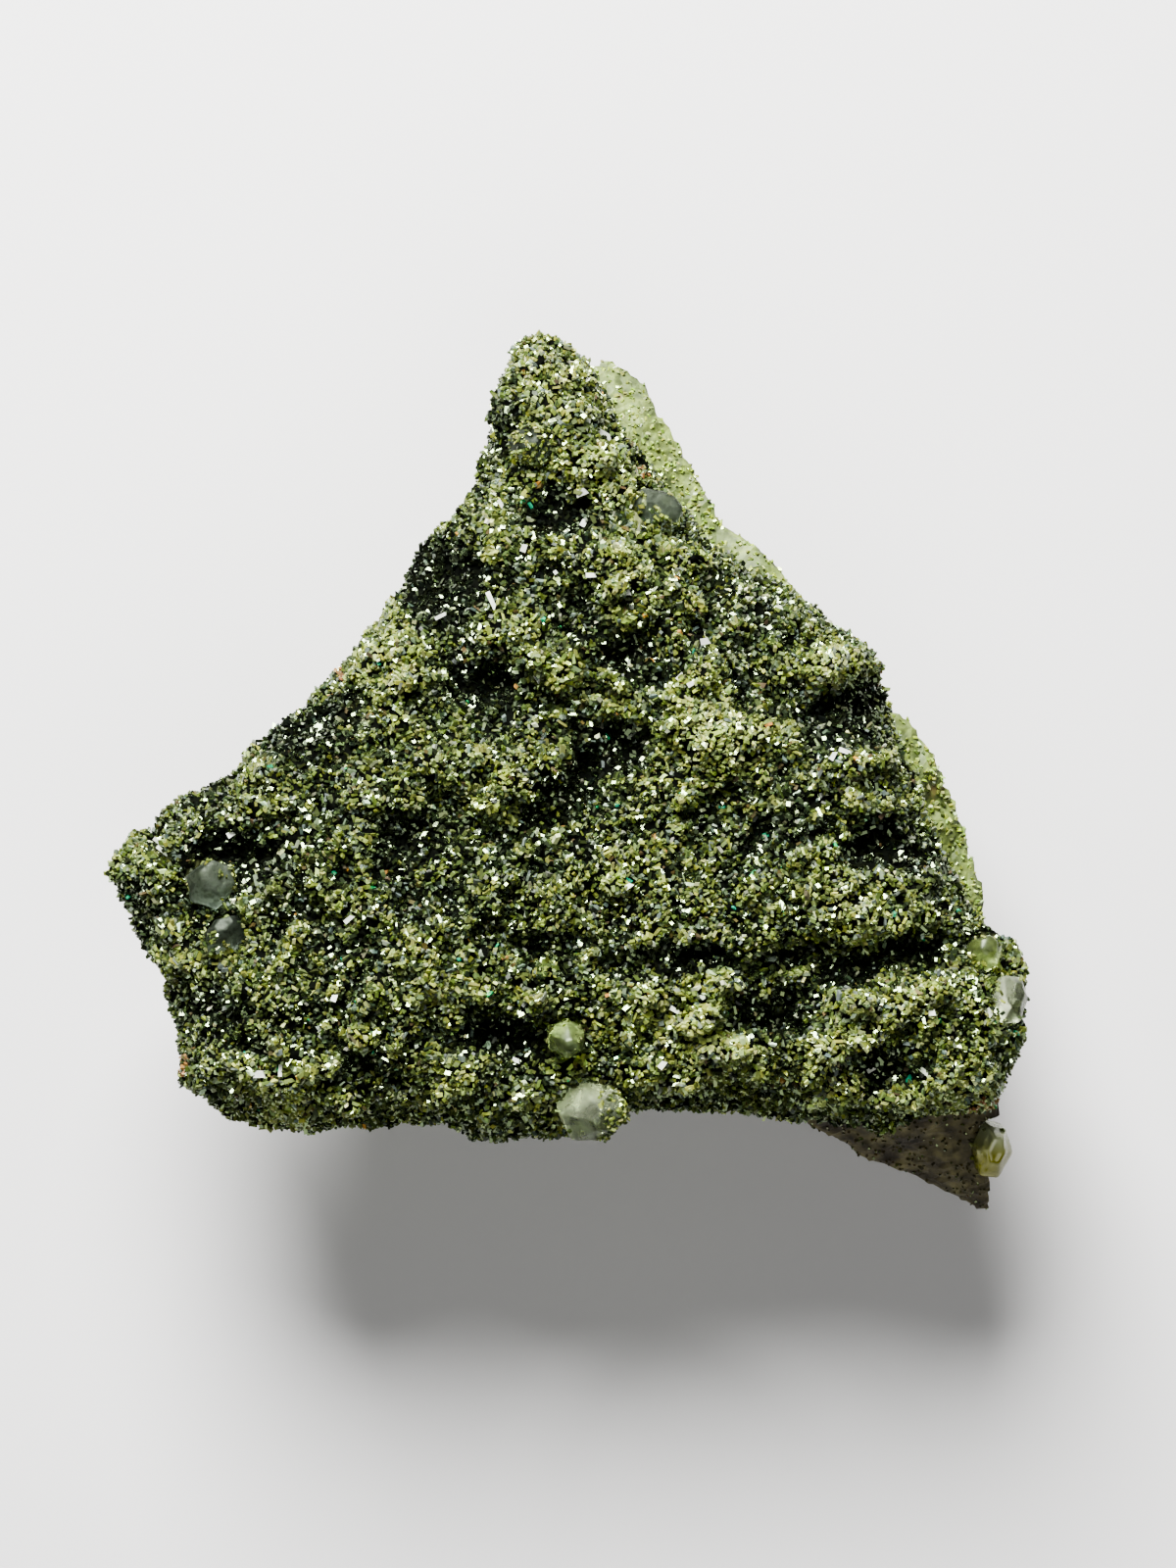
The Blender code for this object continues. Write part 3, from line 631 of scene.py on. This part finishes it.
tints = {
    "black": (0.009, 0.011, 0.007),
    "darkOlive": (0.028, 0.037, 0.018),
    "olive": (0.077, 0.096, 0.033),
    "yellowGreen": (0.174, 0.203, 0.065),
    "pale": (0.270, 0.310, 0.122),
    # painted reflections: grey for the facets' dim sheen, silver for their bright glints
    "grey": (0.118, 0.140, 0.098),
    "paintedGlint": (0.380, 0.440, 0.270),
    "white": (0.740, 0.760, 0.680),
    "brown": (0.080, 0.064, 0.034),
    "stained": (0.058, 0.051, 0.030),
    "sage": (0.246, 0.322, 0.082),
    # painted glints: green and orange flashes of light off the facets
    "paintedGreenFlash": (0.040, 0.240, 0.120),
    "paintedOrangeFlash": (0.360, 0.200, 0.060),
    "rust": (0.240, 0.130, 0.065),
}
druseShares = {"black": 0.22, "darkOlive": 0.24, "olive": 0.29, "yellowGreen": 0.20, "pale": 0.05}
# stray tints: grey and silver are painted reflections and glints, the green and orange flashes painted
# glints, brown the crystals' own
strayShares = {"grey": 0.15, "paintedGlint": 0.021, "brown": 0.015, "paintedGreenFlash": 0.0015, "paintedOrangeFlash": 0.0008}
# the silver ones on the ledge are painted glints
ledgeShares = {"olive": 0.06, "yellowGreen": 0.18, "pale": 0.25, "sage": 0.45, "paintedGlint": 0.06}
finShares = {"stained": 0.35, "brown": 0.45, "olive": 0.20}
overShares = {"olive": 0.35, "yellowGreen": 0.40, "pale": 0.15, "darkOlive": 0.10}
tintSpread = {
    "patchSize": 3.2,  # mm
    "patchShift": 4.0,
    "patch": 0.25,  # weight of the patches, of standing proud and of chance
    "proud": {1.2: 0.45, 3.6: 0.45},  # painted light on what stands proud and painted shade on what lies low, by the size in mm of the neighbourhood that it stands above
    "proudLimit": 2.5,
    "chance": 1.0,
    "rustShare": 0.4,  # of the crystals in a rust spot
}
paintedLightAndShade = [  # x, y, reach in mm, and how much paler: painted light on the lit lumps, and painted shade, where it is negative, on the shaded stretches
    (-1.4, 22.2, 2.2, 0.6), (7.1, 2.5, 2.0, 2.2), (9.2, 1.3, 1.7, 1.6), (-10.3, 7.8, 2.8, 0.8),
    (3.1, 12.0, 2.2, 0.7), (-4.2, 3.2, 2.0, 0.5), (5.6, -12.4, 2.6, 1.1), (3.4, -5.6, 2.2, 0.5),
    (14.0, -14.0, 2.4, 0.6), (17.5, -7.0, 2.4, 0.5), (-6.7, 10.6, 2.2, -2.2), (-1.0, 14.1, 1.1, -1.8),
    (2.0, 1.6, 2.2, -0.6), (15.4, 4.2, 2.2, -0.6), (-13.0, -4.2, 3.0, -0.4), (0.6, -1.6, 2.4, -0.4),
    (20.6, -17.0, 1.4, 1.8), (-6.5, -11.2, 1.8, 1.1), (18.6, -4.5, 2.2, -1.1), (7.6, -14.3, 1.8, 1.9),
    (-16.0, -18.0, 1.8, 1.9), (15.6, -8.1, 1.6, 1.0), (-3.5, 18.3, 1.3, -1.2), (-22.4, -7.2, 1.2, -1.0),
    (-5.1, 4.2, 1.6, -0.9), (-12.6, 3.0, 1.8, -1.3), (-15.2, 2.4, 1.5, -1.4), (14.8, 2.4, 1.8, -1.3),
    (2.6, 16.6, 1.6, 1.4), (-3.0, 19.7, 1.3, -1.2), (-13.8, 0.6, 1.4, -0.9), (21.6, -16.8, 1.3, 1.2),
    (-16.4, -5.2, 1.4, -0.9), (15.4, -1.0, 1.6, 1.0), (2.8, -12.6, 1.5, 1.0), (-20.8, -3.4, 1.3, -0.9),
    (19.4, -13.2, 2.6, 0.8), (15.2, -8.2, 1.4, 1.3), (12.6, -8.4, 1.4, 0.9), (12.4, -2.8, 1.6, -1.2),
    (10.0, 8.9, 1.6, -1.2), (14.2, 5.9, 1.3, 1.2), (4.2, 3.3, 1.4, 1.2), (10.7, -10.7, 1.2, 1.0),
    (-23.3, -5.4, 1.2, -1.0), (-0.1, 5.3, 1.2, 1.1), (13.9, 5.6, 1.2, 0.8), (19.6, -4.6, 1.2, -1.1),
    (18.6, -1.5, 1.2, 1.1), (15.9, -8.1, 1.2, 0.8), (0.6, 16.5, 1.2, 1.0), (8.7, -4.4, 1.3, -1.0),
    (-5.3, -4.6, 1.3, -1.0), (-14.4, -7.0, 3.0, -0.35),
    (7.4, -13.6, 1.3, 0.9), (14.5, -15.8, 1.3, 1.0), (-1.0, -17.6, 1.3, 1.0), (-4.0, 12.8, 1.3, 0.9),
    (14.0, 5.6, 1.0, 0.9), (-20.3, -14.6, 1.3, -1.0), (-17.8, -5.6, 1.2, -0.8), (-23.1, -6.2, 1.1, -0.8),
    (-7.6, -6.7, 1.3, -1.0), (14.0, 2.2, 1.0, -0.6), (3.3, 3.5, 1.1, 0.8), (-15.4, -17.4, 1.3, 0.8),
    (0.0, 5.3, 1.1, 0.6), (-9.1, 3.9, 1.2, 0.8), (-11.1, -6.7, 1.2, 0.8), (7.2, 2.6, 1.6, 0.5),
    (0.4, 22.6, 1.1, 0.9), (21.5, -16.6, 1.2, 0.9), (13.6, 2.4, 1.1, -0.8), (-6.1, -12.1, 1.2, 0.9),
    (14.0, -15.7, 1.8, 0.8), (1.0, 16.0, 1.2, 0.8), (14.3, 5.5, 1.2, 1.3), (-13.2, -13.5, 1.2, -0.8),
    (3.5, 3.2, 1.1, 0.8), (-22.4, -7.4, 1.2, -0.8), (15.8, -8.0, 1.1, 0.7), (-17.5, -5.2, 1.1, -0.7),
    (-8.8, 11.5, 0.8, 3.0), (10.3, -2.0, 1.2, -0.8), (7.5, -14.4, 1.1, 0.6), (-9.6, 9.6, 0.8, 1.6),
    (21.3, -17.0, 1.1, 0.8), (-0.9, -17.9, 1.1, 0.8), (13.3, 2.4, 1.1, -0.7), (0.4, 8.7, 1.5, -1.0),
    (-17.4, -5.3, 1.0, -0.6),
]
pits = [  # the deep hollows, where the crystals are thinned and given painted shade: x, y, half length and half width in mm, turn in degrees, strength
    (-0.6, 14.3, 1.9, 1.2, 0, 1.3), (-6.9, 10.7, 2.0, 1.7, -15, 1.8), (-4.5, 5.3, 2.2, 1.4, -10, 1.0),
    (2.8, 6.5, 2.2, 1.1, -25, 0.8), (2.4, 1.7, 2.6, 1.3, 35, 1.0), (15.4, 4.3, 2.0, 1.3, 5, 0.9),
    (16.4, -3.4, 1.6, 1.2, 30, 1.2), (17.9, -8.9, 2.0, 0.7, 0, 1.0), (15.0, -10.3, 1.7, 0.8, 15, 0.8),
    (11.7, -9.5, 1.8, 0.6, 20, 0.7), (10.9, -12.6, 2.1, 1.1, 0, 1.0), (-17.6, -3.8, 2.4, 1.1, 0, 1.0),
    (-9.1, -3.3, 1.5, 1.2, 10, 1.0), (6.6, -9.6, 1.8, 0.8, 15, 1.0), (-13.6, 3.0, 2.2, 0.9, 25, 1.0),
    (-3.6, -13.6, 2.0, 1.1, 0, 1.0), (17.2, -15.2, 1.6, 0.9, 0, 1.0), (-18.6, -12.3, 1.6, 1.1, 0, 1.0),
]
rustSpots = [  # x, y, reach in mm
    (3.9, 16.8, 0.45), (19.9, -1.1, 0.55), (22.5, -17.8, 0.9), (16.8, 5.7, 0.4), (-12.3, 5.7, 0.4),
    (-20.8, -15.3, 0.5),
]
# a unit crystal's corners, x and y across and z along, and its faces
slantedPrism = (
    [(-1, -1, 0), (1, -1, 0), (1, 1, 0), (-1, 1, 0),
     (-1, -1, 1), (1, -1, 0.78), (1, 1, 0.72), (-1, 1, 0.94)],
    [(0, 3, 2, 1), (0, 1, 5, 4), (1, 2, 6, 5), (2, 3, 7, 6), (3, 0, 4, 7), (4, 5, 6, 7)],
)
roofedPrism = (
    [(-1, -1, 0), (1, -1, 0), (1, 1, 0), (-1, 1, 0),
     (-1, -1, 0.8), (1, -1, 0.8), (1, 1, 0.8), (-1, 1, 0.8), (-0.85, 0.1, 1.0), (0.8, -0.1, 0.96)],
    [(0, 3, 2, 1), (0, 1, 5, 4), (1, 2, 6, 5), (2, 3, 7, 6), (3, 0, 4, 7),
     (4, 5, 9, 8), (6, 7, 8, 9), (5, 6, 9), (7, 4, 8)],
)


def trianglesOf(mesh):
    index = np.empty(len(mesh.loop_triangles) * 3, dtype=np.int64)
    mesh.loop_triangles.foreach_get("vertices", index)
    return cornersOf(mesh)[index.reshape(-1, 3)]


def seatsOn(mesh, count, lowestSlope, wanted, rng):
    # even random places on the mesh where wanted says so, each with its outward direction
    mesh.calc_loop_triangles()
    triangles = trianglesOf(mesh)
    cross = np.cross(triangles[:, 1] - triangles[:, 0], triangles[:, 2] - triangles[:, 0])
    area = np.linalg.norm(cross, axis=1)
    normals = cross / np.maximum(area, 1e-20)[:, None]
    level = np.clip((normals[:, 2] - lowestSlope) / crystals["slopeFade"], 0, 1)
    chance = area * level * wanted(triangles.mean(axis=1))
    chosen = rng.choice(len(area), size=count, p=chance / chance.sum())
    first, second = np.sqrt(rng.random(count)), rng.random(count)
    weights = np.stack([1 - first, first * (1 - second), first * second], axis=1)
    return (triangles[chosen] * weights[:, :, None]).sum(axis=1), normals[chosen]


def noiseField(places, size, shift):
    start = Vector((shift, shift * 0.7, shift * 1.3))
    return np.array([noise.noise(Vector(p) / size + start) for p in places])


def growthDirections(places, normals, sideways, rng):
    bundle = np.array([noise.noise_vector(Vector(p) / (crystals["bundleSize"] * mm)) for p in places])
    lean = bundle * crystals["bundleLean"] + rng.normal(size=places.shape) * crystals["chanceLean"]
    lean -= normals * (lean * normals).sum(axis=1)[:, None]
    upright = rng.uniform(*crystals["upright"], len(places))[:, None]
    along = normals * upright + lean * sideways * crystals["leanShare"]
    return along / np.linalg.norm(along, axis=1)[:, None]


def sideDirections(along, rng):
    across = np.cross(along, rng.normal(size=along.shape))
    across /= np.linalg.norm(across, axis=1)[:, None]
    return across, np.cross(along, across)


def standingProud(places, normals, reach):
    # how far each place stands out from its neighbourhood, in standard deviations; the places are
    # summed in cells, and the neighbourhood is a ball of cells
    steps = 3
    around = range(-steps, steps + 1)
    ball = [(i, j, k) for i in around for j in around for k in around
            if i * i + j * j + k * k <= steps * steps + 1]
    at = ((places - places.min(axis=0)) / (reach * mm / steps)).astype(int) + steps + 1
    grid = tuple(at.max(axis=0) + steps + 2)
    sums = []
    for values in [*places.T, *normals.T, np.ones(len(places))]:
        total = np.zeros(grid)
        np.add.at(total, tuple(at.T), values)
        spread = sum(np.roll(total, shift, axis=(0, 1, 2)) for shift in ball)
        sums.append(spread[tuple(at.T)])
    middles = np.stack(sums[:3], axis=1) / sums[6][:, None]
    facing = np.stack(sums[3:6], axis=1)
    facing /= np.linalg.norm(facing, axis=1)[:, None]
    proud = ((places - middles) * facing).sum(axis=1) * np.clip(facing[:, 2], 0, 1)
    return np.clip(proud / proud.std(), -tintSpread["proudLimit"], tintSpread["proudLimit"])


def sharedTints(order, shares):
    # tints dealt out in the given order, from the first share to the last
    rank = np.argsort(np.argsort(order)) / len(order)
    edges = np.cumsum(list(shares.values()))
    palette = np.array([tints[name] for name in shares])
    return palette[np.minimum(np.searchsorted(edges, rank), len(palette) - 1)]


def insidePits(places):
    # about 1 in the middle of a deep hollow, and 0 outside all of them
    inside = np.zeros(len(places))
    for x, y, halfLength, halfWidth, turn, strength in pits:
        c, s = math.cos(math.radians(turn)), math.sin(math.radians(turn))
        u, v = places[:, 0] / mm - x, places[:, 1] / mm - y
        away = ((u * c + v * s) / halfLength) ** 2 + ((v * c - u * s) / halfWidth) ** 2
        falling = (crystals["pitNarrowing"] * away) ** crystals["pitSharpness"]
        inside = np.maximum(inside, strength * np.exp(-falling))
    return inside


def druseTints(places, normals, rng):
    patch = noiseField(places, tintSpread["patchSize"] * mm, tintSpread["patchShift"])
    lightness = tintSpread["patch"] * patch / patch.std()
    lightness += tintSpread["chance"] * rng.normal(size=len(places))
    # painted light and shade: crystals that stand proud get paler tints, those lying low darker ones
    for reach, weight in tintSpread["proud"].items():
        lightness += weight * standingProud(places, normals, reach)
    # painted light and shade, patch by patch
    for x, y, reach, change in paintedLightAndShade:
        away = np.hypot(places[:, 0] / mm - x, places[:, 1] / mm - y) / reach
        lightness += change * np.exp(-away ** 2)
    inPit = insidePits(places)
    # painted shade: crystals in the deep hollows get the darker tints
    colours = sharedTints(lightness - crystals["pitPaintedShade"] * inPit, druseShares)
    # stray tints dealt at random, most of them painted reflections and glints
    for name, share in strayShares.items():
        colours[rng.random(len(places)) < share * (1 - crystals["pitStrays"] * inPit)] = tints[name]
    for x, y, reach in rustSpots:
        away = np.hypot(places[:, 0] / mm - x, places[:, 1] / mm - y)
        colours[(away < reach) & (rng.random(len(places)) < tintSpread["rustShare"])] = tints["rust"]
    return colours


def chanceTints(shares):
    return lambda places, normals, rng: sharedTints(rng.random(len(places)), shares)


def crystalForms(places, normals, growth, tintsOf, rng):
    # every crystal's corners, for its form, with its tint
    count = len(places)
    along = growthDirections(places, normals, growth["sideways"], rng)
    across, beside = sideDirections(along, rng)
    swing = noiseField(places, crystals["sizePatch"] * mm, crystals["sizeShift"])
    size = 1 + crystals["sizeSwing"] * swing
    length = rng.uniform(*growth["length"], count) * size * mm
    half = rng.uniform(*growth["width"], count) / 2 * size * mm
    depth = half * rng.uniform(*growth["flatness"], count)
    colours = tintsOf(places, normals, rng)
    colours = colours * rng.uniform(*crystals["brightness"], (count, 1))
    colours = colours * rng.uniform(*crystals["tintRange"], (count, 3))
    colours = np.concatenate([np.clip(colours, 0, 1), np.ones((count, 1))], axis=1)
    roofed = rng.random(count) < crystals["roofedShare"]
    directions, sizes = (along, across, beside), (length, half, depth)
    return [(cornersFrom(form, places, directions, sizes, crystals["rooted"]), form[1], colours, chosen)
            for form, chosen in ((slantedPrism, ~roofed), (roofedPrism, roofed))]


def cornersFrom(form, places, directions, sizes, rooted):
    unit = np.array(form[0], dtype=float)
    taper = 1 - crystals["taper"] * unit[:, 2]
    along, across, beside = (direction[:, None, :] for direction in directions)
    length, half, depth = (size[:, None, None] for size in sizes)
    return (places[:, None, :] + across * (unit[:, 0] * taper)[None, :, None] * half
            + beside * (unit[:, 1] * taper)[None, :, None] * depth
            + along * (unit[:, 2] - rooted)[None, :, None] * length)


def buildCrystals(name, made, within=None):
    # one mesh of the crystals, all of them or those within
    vertices, colours, loops, sizes, offset = [], [], [], [], 0
    for points, faces, tint, chosen in made:
        chosen = chosen if within is None else chosen & within
        points, tint = points[chosen], tint[chosen]
        count, corners = points.shape[:2]
        vertices.append(points.reshape(-1, 3))
        colours.append(np.repeat(tint, corners, axis=0))
        starts = offset + np.arange(count) * corners
        for face in faces:
            loops.append((starts[:, None] + np.array(face)[None, :]).reshape(-1))
            sizes.append(np.full(count, len(face)))
        offset += corners * count
    vertices, loops, sizes = np.concatenate(vertices), np.concatenate(loops), np.concatenate(sizes)
    mesh = bpy.data.meshes.new(name)
    mesh.vertices.add(len(vertices))
    mesh.vertices.foreach_set("co", vertices.reshape(-1).astype(np.float32))
    mesh.loops.add(len(loops))
    mesh.loops.foreach_set("vertex_index", loops.astype(np.int32))
    mesh.polygons.add(len(sizes))
    mesh.polygons.foreach_set("loop_start", (np.cumsum(sizes) - sizes).astype(np.int32))
    mesh.update(calc_edges=True)
    mesh.validate()
    mesh.polygons.foreach_set("use_smooth", np.zeros(len(sizes), dtype=bool))
    addTint(mesh, np.concatenate(colours))
    obj = bpy.data.objects.new(name, mesh)
    bpy.context.scene.collection.objects.link(obj)
    place(obj, epidote)
    print(name, "triangles:", int((sizes - 2).sum()))


def onDruse(middles):
    clear = awayFromQuartz(middles)[0] > crystals["quartzMargin"]
    return clear * (1 - crystals["pitThinning"] * insidePits(middles))


def growDruse(rng):
    places, normals = seatsOn(druseBed.data, druseGrowth["count"], druseGrowth["lowestSlope"], onDruse, rng)
    made = crystalForms(places, normals, druseGrowth, druseTints, rng)
    edges = np.quantile(places[:, 1], np.linspace(0, 1, crystals["bands"] + 1))
    for band in range(crystals["bands"]):
        within = (places[:, 1] > edges[band] - 1e-9 * (band == 0)) & (places[:, 1] <= edges[band + 1])
        buildCrystals(f"epidoteBand{band + 1}", made, within)


def onFin(middles):
    x, y = finGrowth["corner"]
    return (middles[:, 0] > x) & (middles[:, 1] < y)


def onLedge(middles):
    return (middles[:, 2] > ledgeGrowth["above"]) & (middles[:, 0] > 0) & ~onFin(middles)


def growOnRock(rng):
    for name, growth, shares, wanted in (("ledgeCrystals", ledgeGrowth, ledgeShares, onLedge),
                                         ("finCrystals", finGrowth, finShares, onFin)):
        places, normals = seatsOn(sageBlock.data, growth["count"], growth["lowestSlope"], wanted, rng)
        buildCrystals(name, crystalForms(places, normals, growth, chanceTints(shares), rng))


def growOverQuartz(rng):
    made = []
    for node, (count, x, y, start) in overGrown.items():
        low, high = (np.array(corner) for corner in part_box(node))
        middle, half = (low + high) / 2, (high - low) / 2

        def wanted(middles):
            # one side of the crystal, and thinly the rest of its rim
            offset = ((middles - middle) / half)[:, :2]
            onSide = offset @ [x, y] > start * math.hypot(x, y)
            return onSide + overGrowth["rimShare"] * (np.hypot(*offset.T) > overGrowth["rimFrom"])

        places, normals = seatsOn(quartzMade[node].data, count, overGrowth["lowestSlope"], wanted, rng)
        made += crystalForms(places, normals, overGrowth, chanceTints(overShares), rng)
    buildCrystals("overgrownCrystals", made)


blades = {  # larger white blades and grains lying on the druse
    "tilt": 0.30,  # how far their upper ends rise, as a slope
    "lift": 0.30 * mm,  # height of the middle over the bed
    "thickness": 0.16 * mm,
    "rooted": 0.5,  # they lie with their middle on the seat
    "brightness": (0.55, 1.0),
    "above": 50.0 * mm,  # height to look down from for the bed beneath
    # x, y in mm, turn in degrees, length and width in mm
    "places": [
        (-21.9, -3.4, -40, 1.16, 0.21), (-21.7, -3.8, -40, 1.05, 0.21), (-4.1, 9.6, -65, 1.16, 0.26),
        (-6.8, 8.9, 27, 0.84, 0.21), (-0.6, 11.0, -56, 0.63, 0.21), (1.2, 11.0, 0, 0.58, 0.26),
        (6.0, 5.7, 45, 0.79, 0.21), (6.5, 5.2, 30, 0.47, 0.26), (-1.7, 5.5, -57, 0.63, 0.21),
        (7.3, 7.5, 10, 0.53, 0.37), (0.9, 21.5, 55, 0.73, 0.21), (1.8, 18.7, -30, 1.36, 0.37),
        (0.7, 15.5, 20, 0.68, 0.42), (-3.6, 14.8, -60, 0.68, 0.21), (0.8, 13.9, 60, 0.53, 0.32),
        (-11.7, -7.3, 40, 0.63, 0.26), (-12.5, -11.5, 70, 0.47, 0.32), (-16.5, -15.6, 0, 0.68, 0.42),
        (-15.4, -15.3, 88, 0.89, 0.21), (-18.1, -2.8, 30, 0.47, 0.32), (5.7, -12.2, -30, 0.68, 0.26),
        (-2.8, -14.9, -20, 0.47, 0.26), (5.0, -15.1, 50, 0.53, 0.32), (19.0, -15.5, -40, 0.79, 0.26),
        (22.5, -12.4, -60, 0.58, 0.32), (19.4, -12.3, 0, 0.42, 0.37), (16.2, -15.4, 30, 0.53, 0.26),
        (14.8, 1.6, -20, 0.84, 0.26), (14.1, 1.4, 60, 0.58, 0.26), (3.1, -5.6, 35, 0.73, 0.26),
        (-2.4, 12.5, 70, 0.47, 0.32), (3.1, 10.1, 0, 0.47, 0.37),
    ],
}


def layBlades(rng):
    chart = np.array(blades["places"])
    seats = []
    for x, y in chart[:, :2] * mm:
        _, seat, _, _ = druseBed.ray_cast(Vector((x, y, blades["above"])), Vector((0, 0, -1)))
        seats.append(seat + Vector((0, 0, blades["lift"])))
    count, turn = len(chart), np.radians(chart[:, 2])
    flat, rise = np.zeros(count), blades["tilt"] * rng.uniform(-1, 1, count)
    along = np.stack([np.cos(turn), np.sin(turn), rise], axis=1)
    along /= np.linalg.norm(along, axis=1)[:, None]
    across = np.stack([-np.sin(turn), np.cos(turn), flat], axis=1)
    sizes = chart[:, 3] * mm, chart[:, 4] * mm / 2, np.full(count, blades["thickness"] / 2)
    directions = along, across, np.cross(along, across)
    corners = cornersFrom(slantedPrism, np.array(seats), directions, sizes, blades["rooted"])
    colours = np.ones((count, 4))
    colours[:, :3] = np.array(tints["white"]) * rng.uniform(*blades["brightness"], (count, 1))
    buildCrystals("whiteBlades", [(corners, slantedPrism[1], colours, np.ones(count, dtype=bool))])


draws = np.random.default_rng(crystals["seed"])
noise.seed_set(crystals["seed"])  # or its vectors would change each run
growDruse(draws)
growOnRock(draws)
growOverQuartz(draws)
layBlades(draws)
print("crystals grown")


# Floor, light and camera

stageSet = {
    "floorColour": (0.46, 0.455, 0.45),
    "floorRoughness": 0.7,
    "floorSize": 1.2,
    "world": (0.62, 0.64, 0.66),
    "worldStrength": 0.10,
    "look": "AgX - High Contrast",
    "lightAim": (0.0, 0.0, 0.02),
    "keyPlace": (-0.07, 0.29, 0.29),
    "keySize": 0.24,
    "keyPower": 7.6,
    "fillPlace": (0.03, -0.24, 0.52),
    "fillSize": 0.50,
    "fillPower": 1.6,
}
photoView = {
    "aim": (1.02 * mm, -0.12 * mm),  # what the middle of the picture shows
    "planeHeight": 21.5 * mm,
    "frameHeight": 83.7 * mm,  # height of the picture at that plane
    "distance": 0.40,
    "sensor": 36.0,  # mm, and the lens comes out in mm too
    "clipStart": 0.01,
}


def addAreaLight(name, spot, size, power):
    light = bpy.data.lights.new(name, "AREA")
    light.shape = "DISK"
    light.size = size
    light.energy = power
    obj = bpy.data.objects.new(name, light)
    obj.location = spot
    towards = Vector(stageSet["lightAim"]) - Vector(spot)
    obj.rotation_euler = towards.to_track_quat("-Z", "Y").to_euler()
    bpy.context.scene.collection.objects.link(obj)


def makeStage():
    clearSelection()
    bpy.ops.mesh.primitive_plane_add(size=stageSet["floorSize"], location=(0, 0, 0))
    floor = bpy.context.object
    floor.name = "floor"
    material, tree, shader = newMaterial("paleFloor")
    shader.inputs["Base Color"].default_value = (*stageSet["floorColour"], 1.0)
    shader.inputs["Roughness"].default_value = stageSet["floorRoughness"]
    floor.data.materials.append(material)
    world = bpy.data.worlds.new("softRoom")
    world.use_nodes = True
    background = world.node_tree.nodes["Background"]
    background.inputs["Color"].default_value = (*stageSet["world"], 1.0)
    background.inputs["Strength"].default_value = stageSet["worldStrength"]
    bpy.context.scene.world = world
    bpy.context.scene.view_settings.look = stageSet["look"]
    addAreaLight("keyLight", stageSet["keyPlace"], stageSet["keySize"], stageSet["keyPower"])
    addAreaLight("fillLight", stageSet["fillPlace"], stageSet["fillSize"], stageSet["fillPower"])


def makeCamera():
    data = bpy.data.cameras.new("photoCamera")
    camera = bpy.data.objects.new("photoCamera", data)
    camera.location = (*photoView["aim"], photoView["planeHeight"] + photoView["distance"])
    data.sensor_width = photoView["sensor"]
    data.lens = photoView["sensor"] * photoView["distance"] / photoView["frameHeight"]
    data.clip_start = photoView["clipStart"]
    bpy.context.scene.collection.objects.link(camera)
    bpy.context.scene.camera = camera


makeStage()
makeCamera()
print("stage and camera set")
